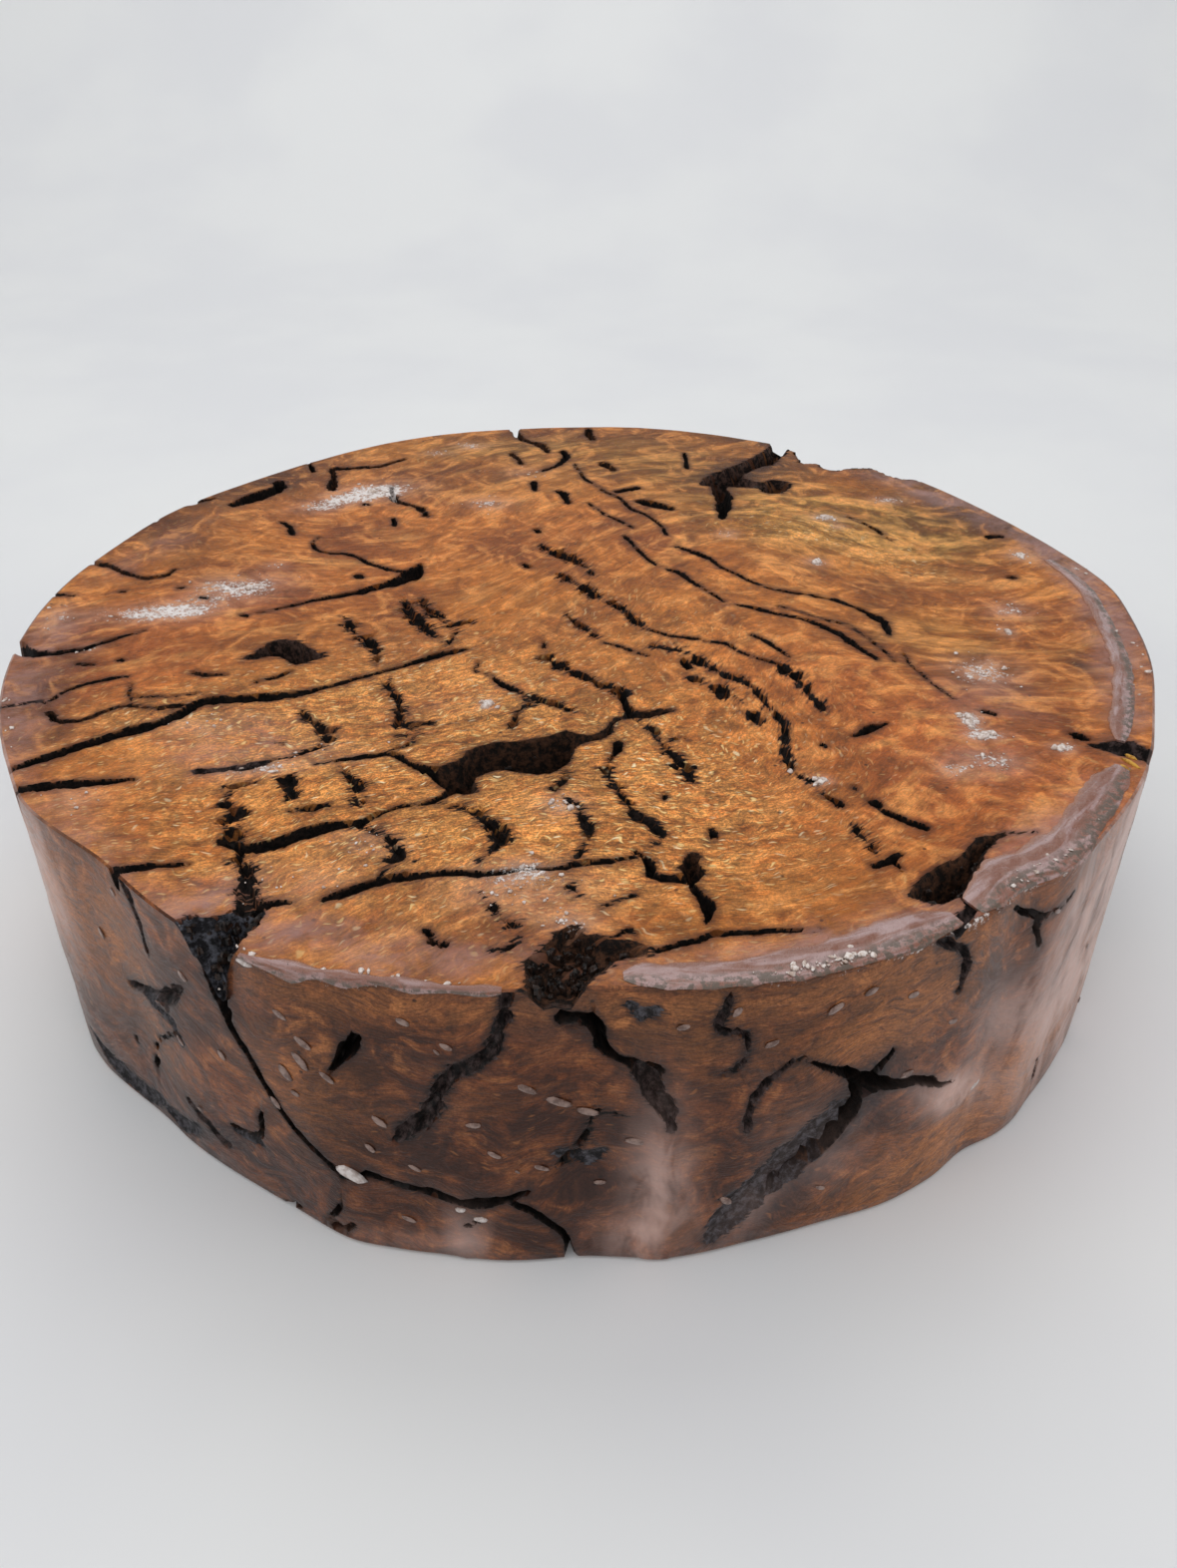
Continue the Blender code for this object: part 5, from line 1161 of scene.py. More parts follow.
def makeSawnBurl():
    material, tree, shader = newMaterial("sawnBurl", **{"Specular IOR Level": sawnLook["specular"]})
    look = tints(sawnLook)
    grain, edge, fill, (gold, red, olive), (_, frost, shade), wax = surfaceParts(tree)
    # the wood's own colours, in large soft zones
    colour = mix(tree, remap(tree, grain["Cloud"], 0.38, 0.68), look["wood"], look["deepWood"])
    colour = layer(tree, colour, look["red"], red, 0.75)
    golden = mix(tree, remap(tree, grain["Curl"], 0.4, 0.62), look["gold"], look["goldDeep"])
    colour = layer(tree, colour, golden, gold, 0.85)
    mossy = mix(tree, remap(tree, grain["Silk"], 0.44, 0.62), look["olive"], look["oliveLight"])
    colour = layer(tree, colour, mossy, olive, 0.8)
    # satin sheen and shade that follow the fibres, weaker in the golden wood
    fibreSheenShare = calc(tree, "SUBTRACT", 0.8, times(tree, gold, 0.4))
    colour = layer(tree, colour, look["paintedSheen"], remap(tree, grain["Silk"], 0.5, 0.72), fibreSheenShare)
    colour = layer(tree, colour, look["deepWood"], remap(tree, grain["Silk"], 0.48, 0.32), 0.6)
    colour = layer(tree, colour, look["shade"], shade, remap(tree, grain["Curl"], 0.25, 0.6, 0.5, 0.95))
    sheenShare = calc(tree, "SUBTRACT", 0.5, times(tree, gold, 0.4))
    colour = layer(tree, colour, look["paintedSheen"], remap(tree, grain["Patch"], 0.5, 0.66), sheenShare)
    colour = darken(tree, colour, remap(tree, grain["Patch"], 0.34, 0.6, 0.7, 1.12))
    colour = darken(tree, colour, remap(tree, grain["Curl"], 0.3, 0.7, 0.8, 1.2))
    # fine grain, coarser in the golden wood than in the red
    coarse = plus(tree, 0.26, gold, 0.62)
    for part in ("Fibre", "Speckle"):
        grit = times(tree, remap(tree, grain[part], 0.32, 0.68, -0.45, 0.45), coarse)
        colour = darken(tree, colour, plus(tree, 1.0, grit))
    colour = darken(tree, colour, remap(tree, grain["Crease"], 0.0, 1.0, 1.0, 0.76))
    dash = times(tree, calc(tree, "SUBTRACT", grain["Dash"], 0.5), plus(tree, 0.14, gold, 0.66))
    colour = darken(tree, colour, plus(tree, 1.0, dash))
    fleck = times(tree, grain["Fleck"], plus(tree, 0.15, gold, 0.85))
    colour = mix(tree, fleck, colour, look["fleck"])
    # painted glints: tiny bright highlights, strongest in the golden wood
    colour = layer(tree, colour, look["glint"], grain["Glint"], plus(tree, 0.06, gold, 0.85))
    colour = layer(tree, colour, look["pip"], grain["Pip"], 0.8)
    # the stain beside the openings, the wax over the wood, and what fills the openings
    colour = layer(tree, colour, look["fringe"], edge["Fringe"], 0.75)
    colour = layer(tree, colour, look["veil"], wax["Veil"], remap(tree, grain["Curl"], 0.3, 0.62, 0.44, 0.8))
    haze = times(tree, frost, remap(tree, grain["Patch"], 0.3, 0.6, 0.15, 0.6), clamp=True)
    colour = mix(tree, haze, colour, look["haze"])
    colour = mix(tree, edge["Inside"], colour, fill["Colour"])
    colour = mix(tree, wax["Grains"], colour, look["frost"])
    feed(tree, shader.inputs["Base Color"], colour)

    roughness = remap(tree, grain["Speckle"], 0.3, 0.7, 0.42, 0.62)
    roughness = calc(tree, "SUBTRACT", roughness, times(tree, wax["Veil"], 0.16))
    feed(tree, shader.inputs["Roughness"], plus(tree, roughness, edge["Inside"], 0.35, clamp=True))
    height = plus(tree, times(tree, grain["Speckle"], 0.5), grain["Fibre"], 0.5)
    height = plus(tree, height, fleck, 0.25)
    height = plus(tree, height, times(tree, edge["Inside"], fill["Lumps"]), 3.0)
    height = plus(tree, height, wax["Grains"], 0.9)
    addBump(tree, shader, height, sawnLook["bump"], sawnLook["bumpDepth"])
    return material


def makeWaxedBurl():
    material, tree, shader = newMaterial("waxedBurl", **{
        "Specular IOR Level": wallLook["specular"], "Coat Roughness": wallLook["coatRoughness"],
        "Coat IOR": wallLook["coatIor"]})
    look = tints(wallLook)
    grain, edge, fill, (paleAndLit, dark, stain), _, wax = surfaceParts(tree)
    colour = mix(tree, remap(tree, grain["Patch"], 0.4, 0.58), look["wood"], look["deepWood"])
    colour = mix(tree, remap(tree, grain["Cloud"], 0.46, 0.66, 0.0, 0.6), colour, look["dark"])
    # pale patches of wood, and painted light on the sides
    bright = remap(tree, grain["Patch"], 0.45, 0.32, 0.0, 0.6)
    paleAndLitShare = calc(tree, "ADD", times(tree, paleAndLit, 0.8), bright, clamp=True)
    colour = layer(tree, colour, look["paleAndLit"], paleAndLitShare, remap(tree, grain["Curl"], 0.3, 0.6, 0.5, 1.0))
    colour = layer(tree, colour, look["dark"], dark, remap(tree, grain["Silk"], 0.4, 0.6, 0.9, 0.5))
    # painted sheen along the fibres
    colour = layer(tree, colour, look["paintedSheen"], remap(tree, grain["Silk"], 0.5, 0.7), 0.5)
    colour = layer(tree, colour, look["deepWood"], remap(tree, grain["Curl"], 0.5, 0.34), 0.45)
    colour = layer(tree, colour, look["stain"], stain, remap(tree, grain["Curl"], 0.3, 0.6, 0.3, 1.0))
    colour = layer(tree, colour, look["dark"], grain["Crease"], 0.4)
    colour = darken(tree, colour, remap(tree, grain["Fibre"], 0.3, 0.7, 0.78, 1.24))
    colour = darken(tree, colour, remap(tree, grain["Speckle"], 0.34, 0.66, 0.8, 1.22))
    # painted glints: small highlights in the pale colour
    colour = layer(tree, colour, look["paleAndLit"], grain["Glint"], 0.4)
    colour = layer(tree, colour, look["pip"], grain["Pip"], 0.8)
    colour = layer(tree, colour, look["fringe"], edge["Fringe"], 0.75)
    colour = mix(tree, edge["Inside"], colour, fill["Colour"])
    # wax hides the wood more than it hides an opening; on the side walls the veil also paints the glare of
    # light on the glossy wax
    colour = layer(tree, colour, look["veil"], wax["Veil"], plus(tree, 0.9, edge["Inside"], -0.6))
    colour = mix(tree, wax["Grains"], colour, look["frost"])
    feed(tree, shader.inputs["Base Color"], colour)

    roughness = remap(tree, grain["Curl"], 0.3, 0.7, 0.3, 0.5)
    feed(tree, shader.inputs["Roughness"], plus(tree, roughness, edge["Inside"], 0.25))
    feed(tree, shader.inputs["Coat Weight"], plus(tree, 0.24, edge["Inside"], -0.12))
    height = plus(tree, times(tree, grain["Curl"], 1.6), grain["Fibre"], 0.3)
    height = plus(tree, height, times(tree, edge["Inside"], fill["Lumps"]), 2.4)
    height = plus(tree, height, wax["Grains"], 0.8)
    addBump(tree, shader, height, wallLook["bump"], wallLook["bumpDepth"])
    return material


makeWood()

# sealing wax: three thick bands that stand for the CAD's, and a thin crust at the front left

waxLips = {
    "thickness": 0.8, "lumps": 0.4, "sink": 0.5, "across": 17, "stepDegrees": 0.3,
    "innerWander": 1.1, "outerWander": 0.5,  # unevenness of the two edges
    "fullWidth": 8, "taperDegrees": 2.5,  # narrower bands are thinner, and each fades out at its ends
    # azimuth, then how far in from the rim's corner the band begins and ends; below 0 it is on the wall
    "wax_lip_front": [(3.2, 4, 2), (4.6, 6.4, 0.4), (8, 7, -0.2), (11, 7, 0.2), (15.5, 7.8, -0.2),
                      (20, 9, 0), (24.3, 9.4, -0.4), (27, 8, 0), (29.6, 4.6, 1)],
    "wax_lip_right": [(31.6, 6, 1), (34, 8.6, -0.2), (38, 10, -0.6), (42, 10, -0.2), (45, 9.6, 0.4),
                      (48, 9.8, 1.2), (51.4, 10, 1.8), (55, 9.4, 2.2), (58.6, 6.6, 3.6)],
    "wax_crust": [(-24.6, 1.2, -0.2), (-22.4, 1.6, -1.4), (-20.4, 2.2, -3), (-18.4, 1.4, -1.2),
                  (-16.6, 2, -2.4), (-14, 1.4, -0.8), (-11.6, 2, -1.8), (-9, 1.2, -0.8), (-6.8, 1.6, -1.4),
                  (-5.2, 1, -0.4)],
    "wax_lip_far": [(62.6, 8, 6), (66, 9.8, 5), (70.4, 9.4, 4.8), (75, 9.6, 4.8), (80, 9.8, 5.4),
                    (85, 10, 5.8), (90, 10, 6), (96, 9.6, 5.8), (104, 8.4, 6.2)],
}

waxLook = {
    "milkAndHighlight": (168, 136, 132), "pink": (134, 86, 68), "mottle": (84, 70, 56), "frost": (226, 218, 216),
    "speck": (52, 42, 36), "rim": (150, 96, 68), "drop": (214, 204, 200), "dropDeep": (176, 160, 152),
    "bead": (140, 112, 100), "beadDeep": (92, 62, 50),
    "specular": 0.5, "coat": 0.5, "coatRoughness": 0.18, "bump": 0.5, "bumpDepth": 0.5,
}


def rimFrame(radius, inward):
    # base point (r, z) and its outward normal on the rim's profile, a distance in from the corner:
    # flat on top, a quarter turn of the eased edge, then down the wall
    ease, top = blank["easedEdge"], blank["thickness"]
    turn = np.clip((ease - inward) / (2 * ease), 0, 1) * math.pi / 2
    baseR = np.where(inward > ease, radius - inward, radius - ease + ease * np.sin(turn))
    baseZ = np.where(inward < -ease, top + inward, top - ease * (1 - np.cos(turn)))
    return baseR, baseZ, np.sin(turn), np.cos(turn)


def makeWaxLip(name, material):
    # across the band s goes from 0 to 1: height = thickness * (1 - (2s-1)^4) * (0.5 + a hump near the inner
    # edge) * (1 + lumps), along the normal of the rim's profile; the underside lies sunk in the wood
    across, path = waxLips["across"], smoothPath(waxLips[name], 1.0)
    azimuth = np.arange(path[0, 0], path[-1, 0], waxLips["stepDegrees"])
    begins, ends = (np.interp(azimuth, path[:, 0], path[:, k]) for k in (1, 2))
    wander = np.clip((begins - ends) / waxLips["fullWidth"], 0.3, 1)
    begins = begins + waxLips["innerWander"] * wander * roughNoise(azimuth / 1.6, azimuth * 0, 3)
    ends = ends + waxLips["outerWander"] * wander * roughNoise(azimuth / 1.2, azimuth * 0 + 5, 4)
    share = np.linspace(0, 1, across)[:, None]
    inward = begins[None] * (1 - share) + ends[None] * share
    baseR, baseZ, normalR, normalZ = rimFrame(rimRadius(azimuth)[None] + inward * 0, inward)
    fromEnd = np.minimum(azimuth - azimuth[0], azimuth[-1] - azimuth)
    taper = np.clip(fromEnd / waxLips["taperDegrees"], 0, 1)[None] ** 0.5
    arc = alongWall(azimuth)[None] + inward * 0
    coarse, fine = roughNoise(arc / 2.6, inward / 2, 8), roughNoise(arc / 0.9, inward / 0.8, 9)
    lumps = waxLips["lumps"] * (coarse + 0.7 * fine)
    body = (1 - (2 * share - 1) ** 4) * (0.5 + 0.5 * np.exp(-((share - 0.25) / 0.2) ** 2))
    rise = waxLips["thickness"] * wander ** 0.5 * body * taper * (1 + lumps)
    upperR, upperZ = baseR + normalR * rise, baseZ + normalZ * rise
    lowerR, lowerZ = baseR - normalR * waxLips["sink"], baseZ - normalZ * waxLips["sink"]
    ringR, ringZ = np.vstack([upperR, lowerR[::-1]]), np.vstack([upperZ, lowerZ[::-1]])
    points = placeInFrame(*roundOut(ringR, azimuth[None] + ringR * 0), ringZ)
    grid = np.arange(ringR.size).reshape(ringR.shape)
    near, far = grid, np.roll(grid, -1, axis=0)
    faces = [np.stack([near[:, :-1], near[:, 1:], far[:, 1:], far[:, :-1]], -1).reshape(-1, 4)[:, ::-1]]
    for column, order in ((0, 1), (-1, -1)):  # a cap at each end
        top, bottom = grid[:across, column], grid[across:, column][::-1]
        faces.append(np.stack([top[:-1], top[1:], bottom[1:], bottom[:-1]], 1)[:, ::order])
    faces = np.vstack(faces).tolist()
    piece = newPiece(name + "_wax", points, faces, [material], sharpAngle=60)
    if name != "wax_crust":
        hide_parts(name)
    shares = np.vstack([share, share[::-1]]).repeat(ringR.shape[1], 1)
    bothArcs, bothInward = np.vstack([arc, arc[::-1]]), np.vstack([inward, inward[::-1]])
    storeValues(piece.data, "across", shares.ravel())
    storeValues(piece.data, "band", np.stack([bothArcs, bothInward, 0 * ringR], -1).reshape(-1, 3))


def makeWaxMaterial():
    material, tree, shader = newMaterial("milkyWax", **{
        "Specular IOR Level": waxLook["specular"], "Coat Weight": waxLook["coat"],
        "Coat Roughness": waxLook["coatRoughness"]})
    look = tints(waxLook)
    place, share = placeInMm(tree), stored(tree, "across")
    # milky and pink streaks drawn out along the band: the wax's own tones, and painted gloss highlights along
    # its length
    drift = noise(tree, stretch(tree, stored(tree, "band", "Vector"), 0.07, 0.4, 1.0), 4, 0.62, 0.9)
    colour = mix(tree, remap(tree, drift, 0.4, 0.58), look["milkAndHighlight"], look["pink"])
    blotch = noise(tree, stretch(tree, place, 0.62, 0.62, 0.62), 3, 0.7)
    outer = remap(tree, share, 0.4, 0.75)
    mottled = times(tree, outer, remap(tree, blotch, 0.42, 0.56))
    colour = layer(tree, colour, look["mottle"], mottled, 0.9)
    frost = times(tree, remap(tree, blotch, 0.56, 0.62), plus(tree, 0.08, outer, 0.3))
    wax = useGroup(tree, waxBloom, {"Film": outer, "Frost": frost, "Place": place})
    colour = mix(tree, wax["Grains"], colour, look["frost"])
    specks = noise(tree, stretch(tree, place, 2.4, 2.4, 2.4), 2, 0.6)
    colour = layer(tree, colour, look["speck"], remap(tree, specks, 0.66, 0.72), 0.8)
    colour = mix(tree, remap(tree, share, 0.02, 0.16, 0.9, 0.0), colour, look["rim"])
    feed(tree, shader.inputs["Base Color"], colour)
    feed(tree, shader.inputs["Roughness"], remap(tree, blotch, 0.35, 0.65, 0.22, 0.5))
    height = plus(tree, times(tree, blotch, 1.6), wax["Grains"], 1.2)
    addBump(tree, shader, height, waxLook["bump"], waxLook["bumpDepth"])
    return material


def makeBeadMaterial(name, pale, deep, pitch, gloss):  # two colours that drift into each other
    material, tree, shader = newMaterial(name, **{
        "Specular IOR Level": 0.2 + gloss / 2, "Coat Weight": gloss, "Coat Roughness": 0.15})
    drift = noise(tree, stretch(tree, placeInMm(tree), pitch, pitch, pitch), 3, 0.65)
    colour = mix(tree, remap(tree, drift, 0.38, 0.62), tint(*pale), tint(*deep))
    feed(tree, shader.inputs["Base Color"], colour)
    feed(tree, shader.inputs["Roughness"], remap(tree, drift, 0.35, 0.65, 0.3, 0.55))
    addBump(tree, shader, drift, 0.5, 0.3)
    return material


# crumbs, beads, drops and lumps, all of them small domes

draws = np.random.default_rng(11)  # every random choice below is drawn from here, in this order


def makeDomes(name, centres, outward, along, sizes, material,
              ragged=0.25, sink=0.2, power=0.6, smooth=True):
    # p = c + rho cos(theta) length/2 a + rho sin(theta) width/2 b + height (1 - ring^2)^power n, with theta
    # round, and both rho and the height wavy by ragged round each ring; the last ring lies sunk, and a
    # point below closes the dome
    rings, sectors, count = np.array([0.45, 0.8, 1.0]), 9, len(centres)
    side = np.cross(outward, along)
    theta = np.linspace(0, 2 * math.pi, sectors, endpoint=False)
    level = rings[None, :, None]
    rho = level * (1 + ragged * draws.uniform(-1, 1, (count, 1, sectors)))
    waves = 1 + ragged * draws.uniform(-1, 1, (count, len(rings), sectors))
    rise = np.maximum(1 - rings ** 2, 0)[None, :, None] ** power * waves
    rise = np.where(level == 1.0, -sink, rise)
    length, width, height = (sizes[:, k][:, None, None] for k in range(3))
    shell = (centres[:, None, None] + (rho * np.cos(theta) * length / 2)[..., None] * along[:, None, None]
             + (rho * np.sin(theta) * width / 2)[..., None] * side[:, None, None]
             + (rise * height)[..., None] * outward[:, None, None])
    tops = centres + outward * sizes[:, 2:3]
    bottoms = centres - outward * sizes[:, 2:3] * sink * 2
    points = np.concatenate([shell.reshape(count, -1, 3), tops[:, None], bottoms[:, None]], 1)
    each, turn = points.shape[1], np.arange(sectors)
    after = (turn + 1) % sectors
    # one dome's faces: a fan at the top, two bands and a fan below; a triangle has its last corner twice
    fan = np.stack([turn * 0 + each - 2, turn, after, after], 1)
    bands = [np.stack([turn, turn + sectors, after + sectors, after], 1) + k * sectors for k in range(2)]
    low = 2 * sectors
    under = np.stack([turn * 0 + each - 1, after + low, turn + low, turn + low], 1)
    pattern = np.vstack([fan, *bands, under])
    faces = (pattern[None] + (np.arange(count) * each)[:, None, None]).reshape(-1, 4)
    faces = [face[:3] if face[2] == face[3] else face for face in faces.tolist()]
    flat = points.reshape(-1, 3)
    newPiece(name, placeInFrame(flat[:, 0], flat[:, 1], flat[:, 2]), faces, [material], smooth)


def fromRim(x, y):  # how far in from the rim
    return rimRadius(np.degrees(np.arctan2(x, -y))) - np.hypot(x, y)


def onTop(x, y):  # centres, normals and random directions on the sawn face, sunk with its openings
    depth = measureCracks(x, y, topCracks, topPockets, 1, topGrain)["depth"]
    turn = draws.uniform(0, 2 * math.pi, len(x))
    centres = np.stack([x, y, blank["thickness"] - depth], 1)
    return centres, np.tile([0.0, 0.0, 1.0], (len(x), 1)), np.stack([np.cos(turn), np.sin(turn), turn * 0], 1)


def onWall(azimuth, height, slant):  # the same on the wall, with the length turned by slant from level
    turn, lean = np.radians(azimuth), np.radians(slant)
    radius = wallRadius(azimuth, height)
    outward = np.stack([np.sin(turn), -np.cos(turn), turn * 0], 1)
    level = np.stack([np.cos(turn), np.sin(turn), turn * 0], 1)
    along = level * np.cos(lean)[:, None] + np.array([0, 0, 1.0]) * np.sin(lean)[:, None]
    centres = outward * radius[:, None]
    centres[:, 2] = height
    return centres, outward, along


crumbs = {
    "perArea": 0.12, "small": 0.4, "large": 1.9, "flatness": 0.3,
    "lipRise": 0.55, "lipReach": 12,  # those on the wax bands stand this much higher, this near the rim
    "rimSmall": 0.5, "rimSpread": 1.5,  # sizes on the rim's edge
    "colours": ((236, 226, 220), (190, 168, 154)),
    # x, y, length, width of the biggest crumbs
    "big": [(87, -51, 3, 2), (86.4, -53.6, 2.6, 2), (88.6, -58.6, 5, 2), (90.6, -58, 2, 1.4),
            (104, -63.6, 3, 2), (50, -76.4, 2.6, 2), (48.8, -75.6, 1.6, 1.2), (44, -73, 1.8, 1.4),
            (-21.4, -45.7, 3.4, 2.6), (-22.6, -44.6, 1.6, 1.4), (-8.6, -63, 2.6, 1.6), (-2, -86, 2.4, 1.6),
            (-6, -84, 2.2, 1.4), (-69, -71, 3, 1.2), (-64.6, -73, 2.6, 1), (106.4, -10.7, 3, 1.6),
            (72, 60.7, 4, 2.4), (64.6, 30, 3.6, 2.4), (-88.6, 14, 3, 2.4), (122, 34, 4, 2.4),
            (-65, 80.7, 3.4, 2.4)],
    # azimuth range, distance in from the corner, how many, on the rim's edge
    "rim": [(-28, -8, 1.4, 16), (14.5, 22, 2.4, 30), (34, 50, 3, 9), (-72, -60, 2, 8), (70, 92, 6, 8)],
}


def makeWaxCrumbs():
    x, y, length, width = [], [], [], []
    for centreU, centreV, reachU, reachV, turn, strength in topZones["frost"]:
        count = int(3 + crumbs["perArea"] * reachU * reachV * math.pi * strength)
        angle = math.radians(turn)
        u, v = draws.normal(0, 0.5, count) * reachU, draws.normal(0, 0.5, count) * reachV
        x.append(centreU + u * math.cos(angle) - v * math.sin(angle))
        y.append(centreV + u * math.sin(angle) + v * math.cos(angle))
        spread = (crumbs["large"] - crumbs["small"]) * draws.uniform(0, 1, count) ** 3
        size = crumbs["small"] + spread * strength
        length.append(size)
        width.append(size * draws.uniform(0.55, 0.9, count))
    for start, end, inward, count in crumbs["rim"]:
        azimuth = draws.uniform(start, end, count)
        edgeX, edgeY = roundOut(rimRadius(azimuth) - 1 - inward * draws.uniform(0, 1, count), azimuth)
        x.append(edgeX)
        y.append(edgeY)
        length.append(crumbs["rimSmall"] + crumbs["rimSpread"] * draws.uniform(0, 1, count) ** 2)
        width.append(length[-1] * draws.uniform(0.5, 0.9, count))
    big = np.array(crumbs["big"])
    x, y = np.concatenate(x + [big[:, 0]]), np.concatenate(y + [big[:, 1]])
    length, width = np.concatenate(length + [big[:, 2]]), np.concatenate(width + [big[:, 3]])
    centres, outward, along = onTop(x, y)
    onLip = (fromRim(x, y) < crumbs["lipReach"]) & (x > 8) & (y < 10)  # right of the front only
    centres[:, 2] += np.where(onLip, crumbs["lipRise"], 0)
    sizes = np.stack([length, width, np.minimum(length, width) * crumbs["flatness"]], 1)
    material = makeBeadMaterial("crumbWax", *crumbs["colours"], pitch=1.1, gloss=0.2)
    makeDomes("wax_crumbs", centres, outward, along, sizes, material, ragged=0.35)


waxBeads = {
    # azimuth, height, length, width, slant of the lens-shaped beads that hang on the wall
    "beads": [(-22, 63, 3.4, 1.6, -35), (-20.5, 57, 4, 1.8, -40), (-21, 52, 5, 2, -55),
              (-22.6, 47, 4.6, 2, -60), (-19, 49, 3.6, 1.6, -40), (-12.6, 66, 3, 1.6, -20),
              (-15.4, 39, 3.6, 1.8, -40), (-4, 51, 5, 2, -30), (-1.6, 47, 5.6, 2.2, -24),
              (0.6, 44, 4.8, 2, -20), (-6.6, 33, 3, 1.4, -30), (-3, 29, 3.4, 1.4, -20),
              (-8, 41, 3.2, 1.6, 10), (-16.4, 31, 3, 1.4, -50), (4.4, 36, 4.4, 1.8, -16),
              (1.6, 24, 2.6, 1.4, 0), (11.2, 69, 2.6, 1.6, 60), (14, 60, 3, 1.6, 20),
              (18.6, 66, 3.6, 1.8, 30), (21.4, 68, 3, 1.6, 20), (25.4, 63, 2.8, 1.6, 0),
              (26.4, 41, 3.2, 1.6, 0), (-32, 60, 3, 1.5, -50), (-35, 38, 3, 1.4, -60),
              (-14, 11, 3.2, 1.4, -20), (-24.4, 36, 3.4, 1.5, -60), (-29.6, 42, 2.6, 1.4, -60),
              (-13, 27, 3, 1.3, -30), (-9.6, 61, 3, 1.4, -30), (7.4, 66, 2.6, 1.4, 10),
              (30.4, 50, 2.6, 1.4, -20), (-45, 52, 3, 1.4, -60)],
    "scattered": 30, "heights": (8, 70), "lengths": (1.2, 3.4), "slants": (-70, 0), "flatness": 0.1,
    # the bright drops: azimuth, height, length, width, slant, rise
    "drops": [(-18.4, 22.4, 7, 3, -24, 0.9), (-8, 13.6, 3, 1.4, 0, 0.4), (-24.2, 73.4, 4, 1.4, -12, 0.4),
              (-9.6, 16, 2.4, 1.2, 0, 0.4), (35.6, 23.4, 5, 1.6, 20, 0.7), (172, 12, 4, 3, -80, 0.9),
              (110, 9, 4, 3, -80, 0.9), (-118, 12, 4, 3, -80, 0.9), (-147, 27, 5, 2, -10, 0.7)],
}


def makeWaxBeads():
    given = np.array(waxBeads["beads"])
    count = waxBeads["scattered"]
    azimuth = np.concatenate([given[:, 0], draws.uniform(-180, 180, count)])
    height = np.concatenate([given[:, 1], draws.uniform(*waxBeads["heights"], count)])
    length = np.concatenate([given[:, 2], draws.uniform(*waxBeads["lengths"], count)])
    width = np.concatenate([given[:, 3], length[len(given):] * draws.uniform(0.4, 0.6, count)])
    slant = np.concatenate([given[:, 4], draws.uniform(*waxBeads["slants"], count)])
    centres, outward, along = onWall(azimuth, height, slant)
    sizes = np.stack([length, width, width * waxBeads["flatness"]], 1)
    material = makeBeadMaterial("beadWax", waxLook["bead"], waxLook["beadDeep"], pitch=0.5, gloss=0.6)
    makeDomes("wax_beads", centres, outward, along, sizes, material,
              ragged=0.12, sink=0.5, power=0.8)
    drops = np.array(waxBeads["drops"])
    centres, outward, along = onWall(drops[:, 0], drops[:, 1], drops[:, 4])
    material = makeBeadMaterial("dropWax", waxLook["drop"], waxLook["dropDeep"], pitch=0.7, gloss=0.6)
    sizes = drops[:, [2, 3, 5]]
    makeDomes("wax_drops", centres, outward, along, sizes, material,
              ragged=0.15, sink=0.5, power=0.7)


bark = {
    "perPocket": [26, 70, 46, 50, 60, 90, 70],  # lumps in each of topPockets
    "small": 0.7, "large": 3.2,
    "colours": ((48, 33, 26), (16, 12, 11)),
}


def makeBarkCrumbs():
    x, y = [], []
    for pocket, count in zip(topPockets, bark["perPocket"]):
        outline = smoothPath(pocket["outline"], relief["spacing"], closed=True)
        low, high = outline.min(0), outline.max(0)
        tryX, tryY = draws.uniform(low[0], high[0], count * 8), draws.uniform(low[1], high[1], count * 8)
        inside = outlineGap(tryX, tryY, outline) < -0.9
        good = np.flatnonzero(inside & (fromRim(tryX, tryY) > 1.2))[:count]
        x.append(tryX[good])
        y.append(tryY[good])
    x, y = np.concatenate(x), np.concatenate(y)
    centres, outward, along = onTop(x, y)
    size = bark["small"] + (bark["large"] - bark["small"]) * draws.uniform(0, 1, len(x)) ** 2
    width, height = size * draws.uniform(0.5, 0.9, len(x)), size * draws.uniform(0.25, 0.5, len(x))
    sizes = np.stack([size, width, height], 1)
    keep = centres[:, 2] + sizes[:, 2] < blank["thickness"] - 0.2
    material = makeBeadMaterial("crumblyBark", *bark["colours"], pitch=0.9, gloss=0.1)
    makeDomes("bark_crumbs", centres[keep], outward[keep], along[keep], sizes[keep], material,
              ragged=0.55, sink=0.6, power=0.3, smooth=False)


splinters = {  # pale ones that the saw lifted at the east crack
    "places": [(116.4, -69.6, 6, 1.3, -58), (117.6, -67.6, 4, 1, -50), (115, -71.6, 3.4, 0.9, -64)],
    "flatness": 0.5, "sunk": 0.1,  # places give x, y, length, width and turn
    "colours": ((214, 164, 70), (160, 110, 44)),
}


def makeSplinters():
    x, y, length, width, turn = np.array(splinters["places"]).T
    turn = np.radians(turn)
    centres = np.stack([x, y, x * 0 + blank["thickness"] - splinters["sunk"]], 1)
    along = np.stack([np.cos(turn), np.sin(turn), turn * 0], 1)
    outward = np.tile([0.0, 0.0, 1.0], (len(x), 1))
    sizes = np.stack([length, width, width * splinters["flatness"]], 1)
    material = makeBeadMaterial("paleSplinter", *splinters["colours"], pitch=0.8, gloss=0.0)
    makeDomes("pale_splinters", centres, outward, along, sizes, material, ragged=0.3)


milkyWax = makeWaxMaterial()
for lipName in ("wax_lip_front", "wax_lip_right", "wax_lip_far", "wax_crust"):
    makeWaxLip(lipName, milkyWax)
print("wax lips made")
makeWaxCrumbs()
makeWaxBeads()
makeBarkCrumbs()
makeSplinters()
print("crumbs, beads and lumps made")


# floor, light and camera, in metres

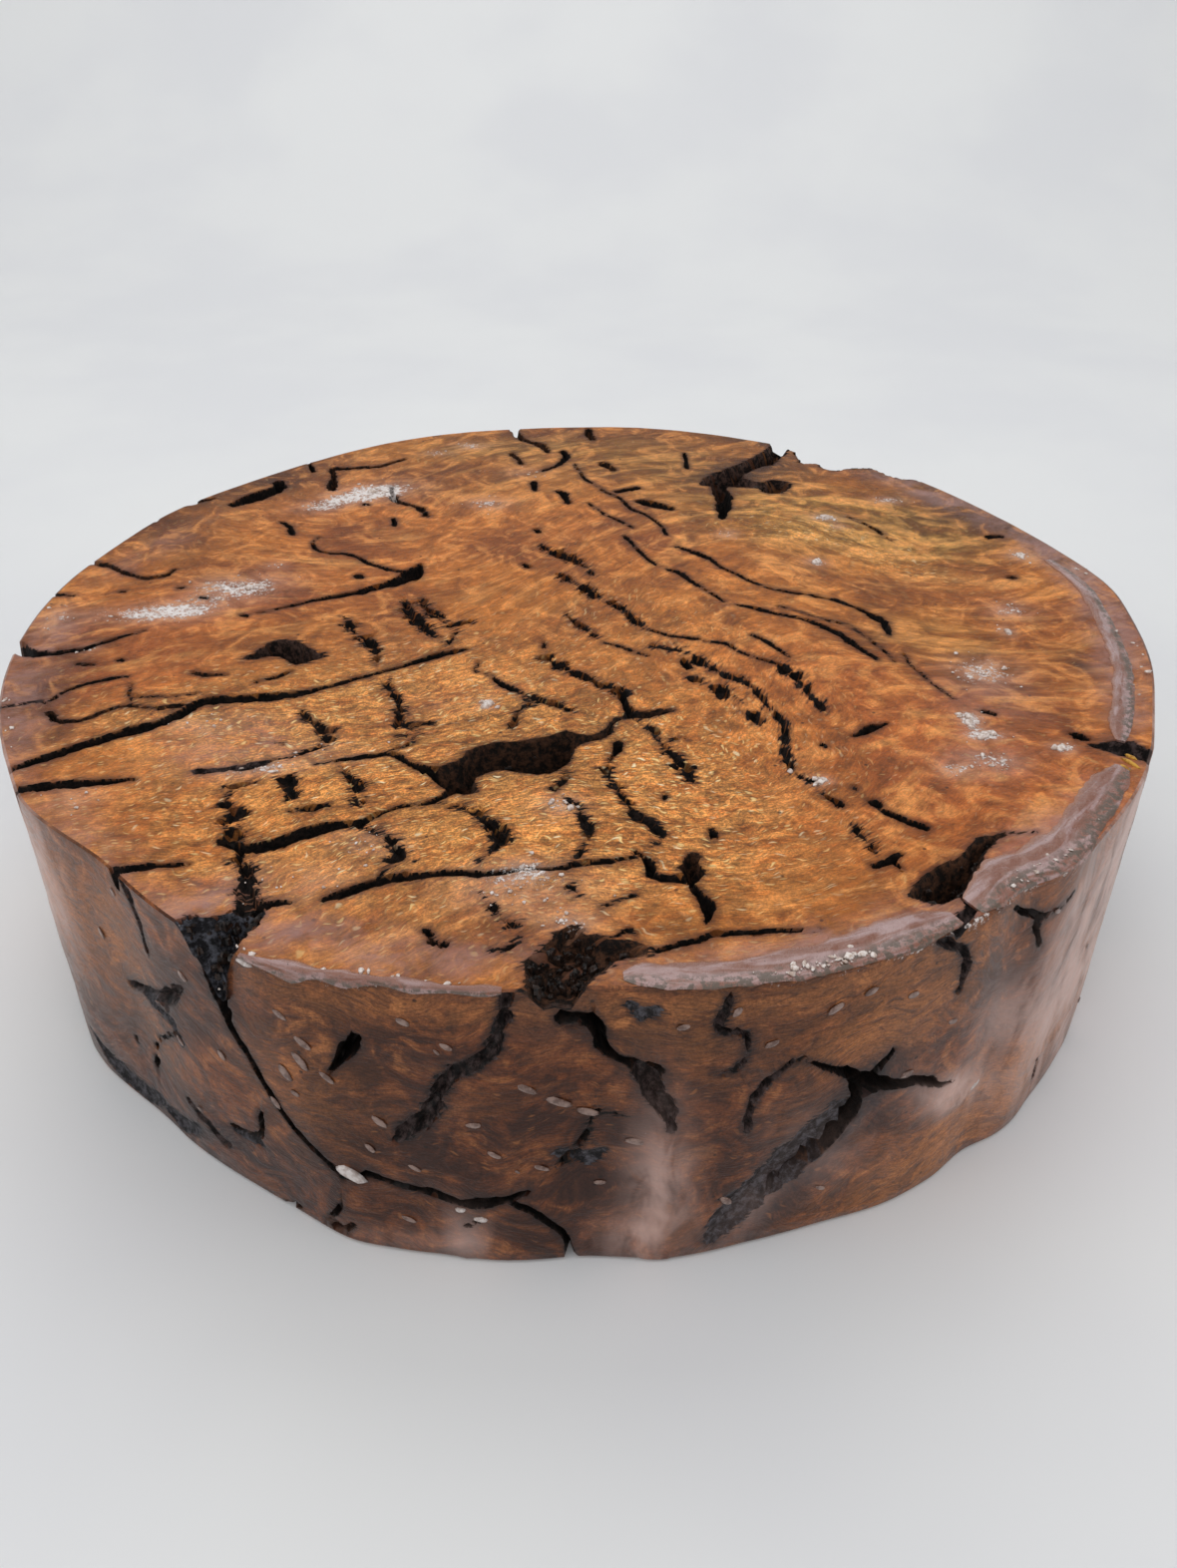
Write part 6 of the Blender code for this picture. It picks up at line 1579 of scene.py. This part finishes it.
studio = {
    "floorColour": (238, 239, 239), "floorShade": (232, 233, 235), "floorDrop": 0.0003,
    "floorDepth": 0.55, "sweepRadius": 0.55, "sweepHeight": 1.5, "halfWidth": 2.2, "nearEdge": -1.4,
    "worldColour": (0.97, 0.98, 1.0), "worldStrength": 0.38,
    "softboxes": [(-0.1, -0.55, 1.1, 1.6, 7.0), (0, 0.8, 1.15, 1.2, 5.4), (-1.3, -0.25, 0.5, 0.9, 2.6),
                  (1.3, -0.1, 0.5, 0.9, 2.2)],  # place, size and power
    # fitted to the two rims in the photograph
    "cameraPlace": (0.0016, -0.295, 0.226), "cameraDip": 34.78, "lens": 29.34, "sensor": 36,
}


def makeFloor():  # flat, then a quarter turn of sweepRadius, then upright, carried across x
    radius, depth = studio["sweepRadius"], studio["floorDepth"]
    flatY = np.linspace(studio["nearEdge"], depth, 12)
    turn = np.linspace(0, math.pi / 2, 16)[1:]
    y = np.concatenate([flatY, depth + radius * np.sin(turn), [depth + radius]])
    z = np.concatenate([flatY * 0, radius * (1 - np.cos(turn)), [studio["sweepHeight"]]])
    x = np.array([-studio["halfWidth"], studio["halfWidth"]])
    points = np.stack([np.tile(x, len(y)), np.repeat(y, 2), np.repeat(z, 2) - studio["floorDrop"]], 1)
    faces = np.arange(len(y) - 1)[:, None] * 2 + np.array([[0, 1, 3, 2]])
    mesh = bpy.data.meshes.new("studio_floor")
    mesh.from_pydata(points.tolist(), [], faces.tolist())
    mesh.polygons.foreach_set("use_smooth", np.ones(len(mesh.polygons), bool))
    floor = bpy.data.objects.new("studio_floor", mesh)
    bpy.context.scene.collection.objects.link(floor)
    material, tree, shader = newMaterial("paleFloor", **{"Specular IOR Level": 0.35})
    look = tints(studio)
    cloud = noise(tree, stretch(tree, placeInMm(tree), 0.006, 0.006, 0.006), 3)
    colour = mix(tree, remap(tree, cloud, 0.35, 0.65), look["floorColour"], look["floorShade"])
    feed(tree, shader.inputs["Base Color"], colour)
    feed(tree, shader.inputs["Roughness"], remap(tree, cloud, 0.3, 0.7, 0.38, 0.55))
    mesh.materials.append(material)


def makeLight():
    world = bpy.data.worlds.new("softDay")
    world.use_nodes = True
    sky = world.node_tree.nodes["Background"]
    sky.inputs["Color"].default_value = (*studio["worldColour"], 1)
    sky.inputs["Strength"].default_value = studio["worldStrength"]
    bpy.context.scene.world = world
    for *place, size, power in studio["softboxes"]:  # each one faces the blank
        lamp = bpy.data.lights.new("softbox", "AREA")
        lamp.size, lamp.energy = size, power
        softbox = bpy.data.objects.new("softbox", lamp)
        softbox.location = place
        softbox.rotation_euler = mathutils.Vector(place).to_track_quat("Z", "Y").to_euler()
        bpy.context.scene.collection.objects.link(softbox)


def makeCamera():
    lens = bpy.data.cameras.new("camera")
    lens.sensor_width, lens.lens = studio["sensor"], studio["lens"]
    camera = bpy.data.objects.new("camera", lens)
    x, y, z = studio["cameraPlace"]
    camera.location = (x - centreX * mm, y - centreY * mm, z)
    camera.rotation_euler = (math.radians(90 - studio["cameraDip"]), 0, 0)
    bpy.context.scene.collection.objects.link(camera)
    bpy.context.scene.camera = camera


makeFloor()
makeLight()
makeCamera()
bpy.context.scene.view_settings.view_transform = "Standard"
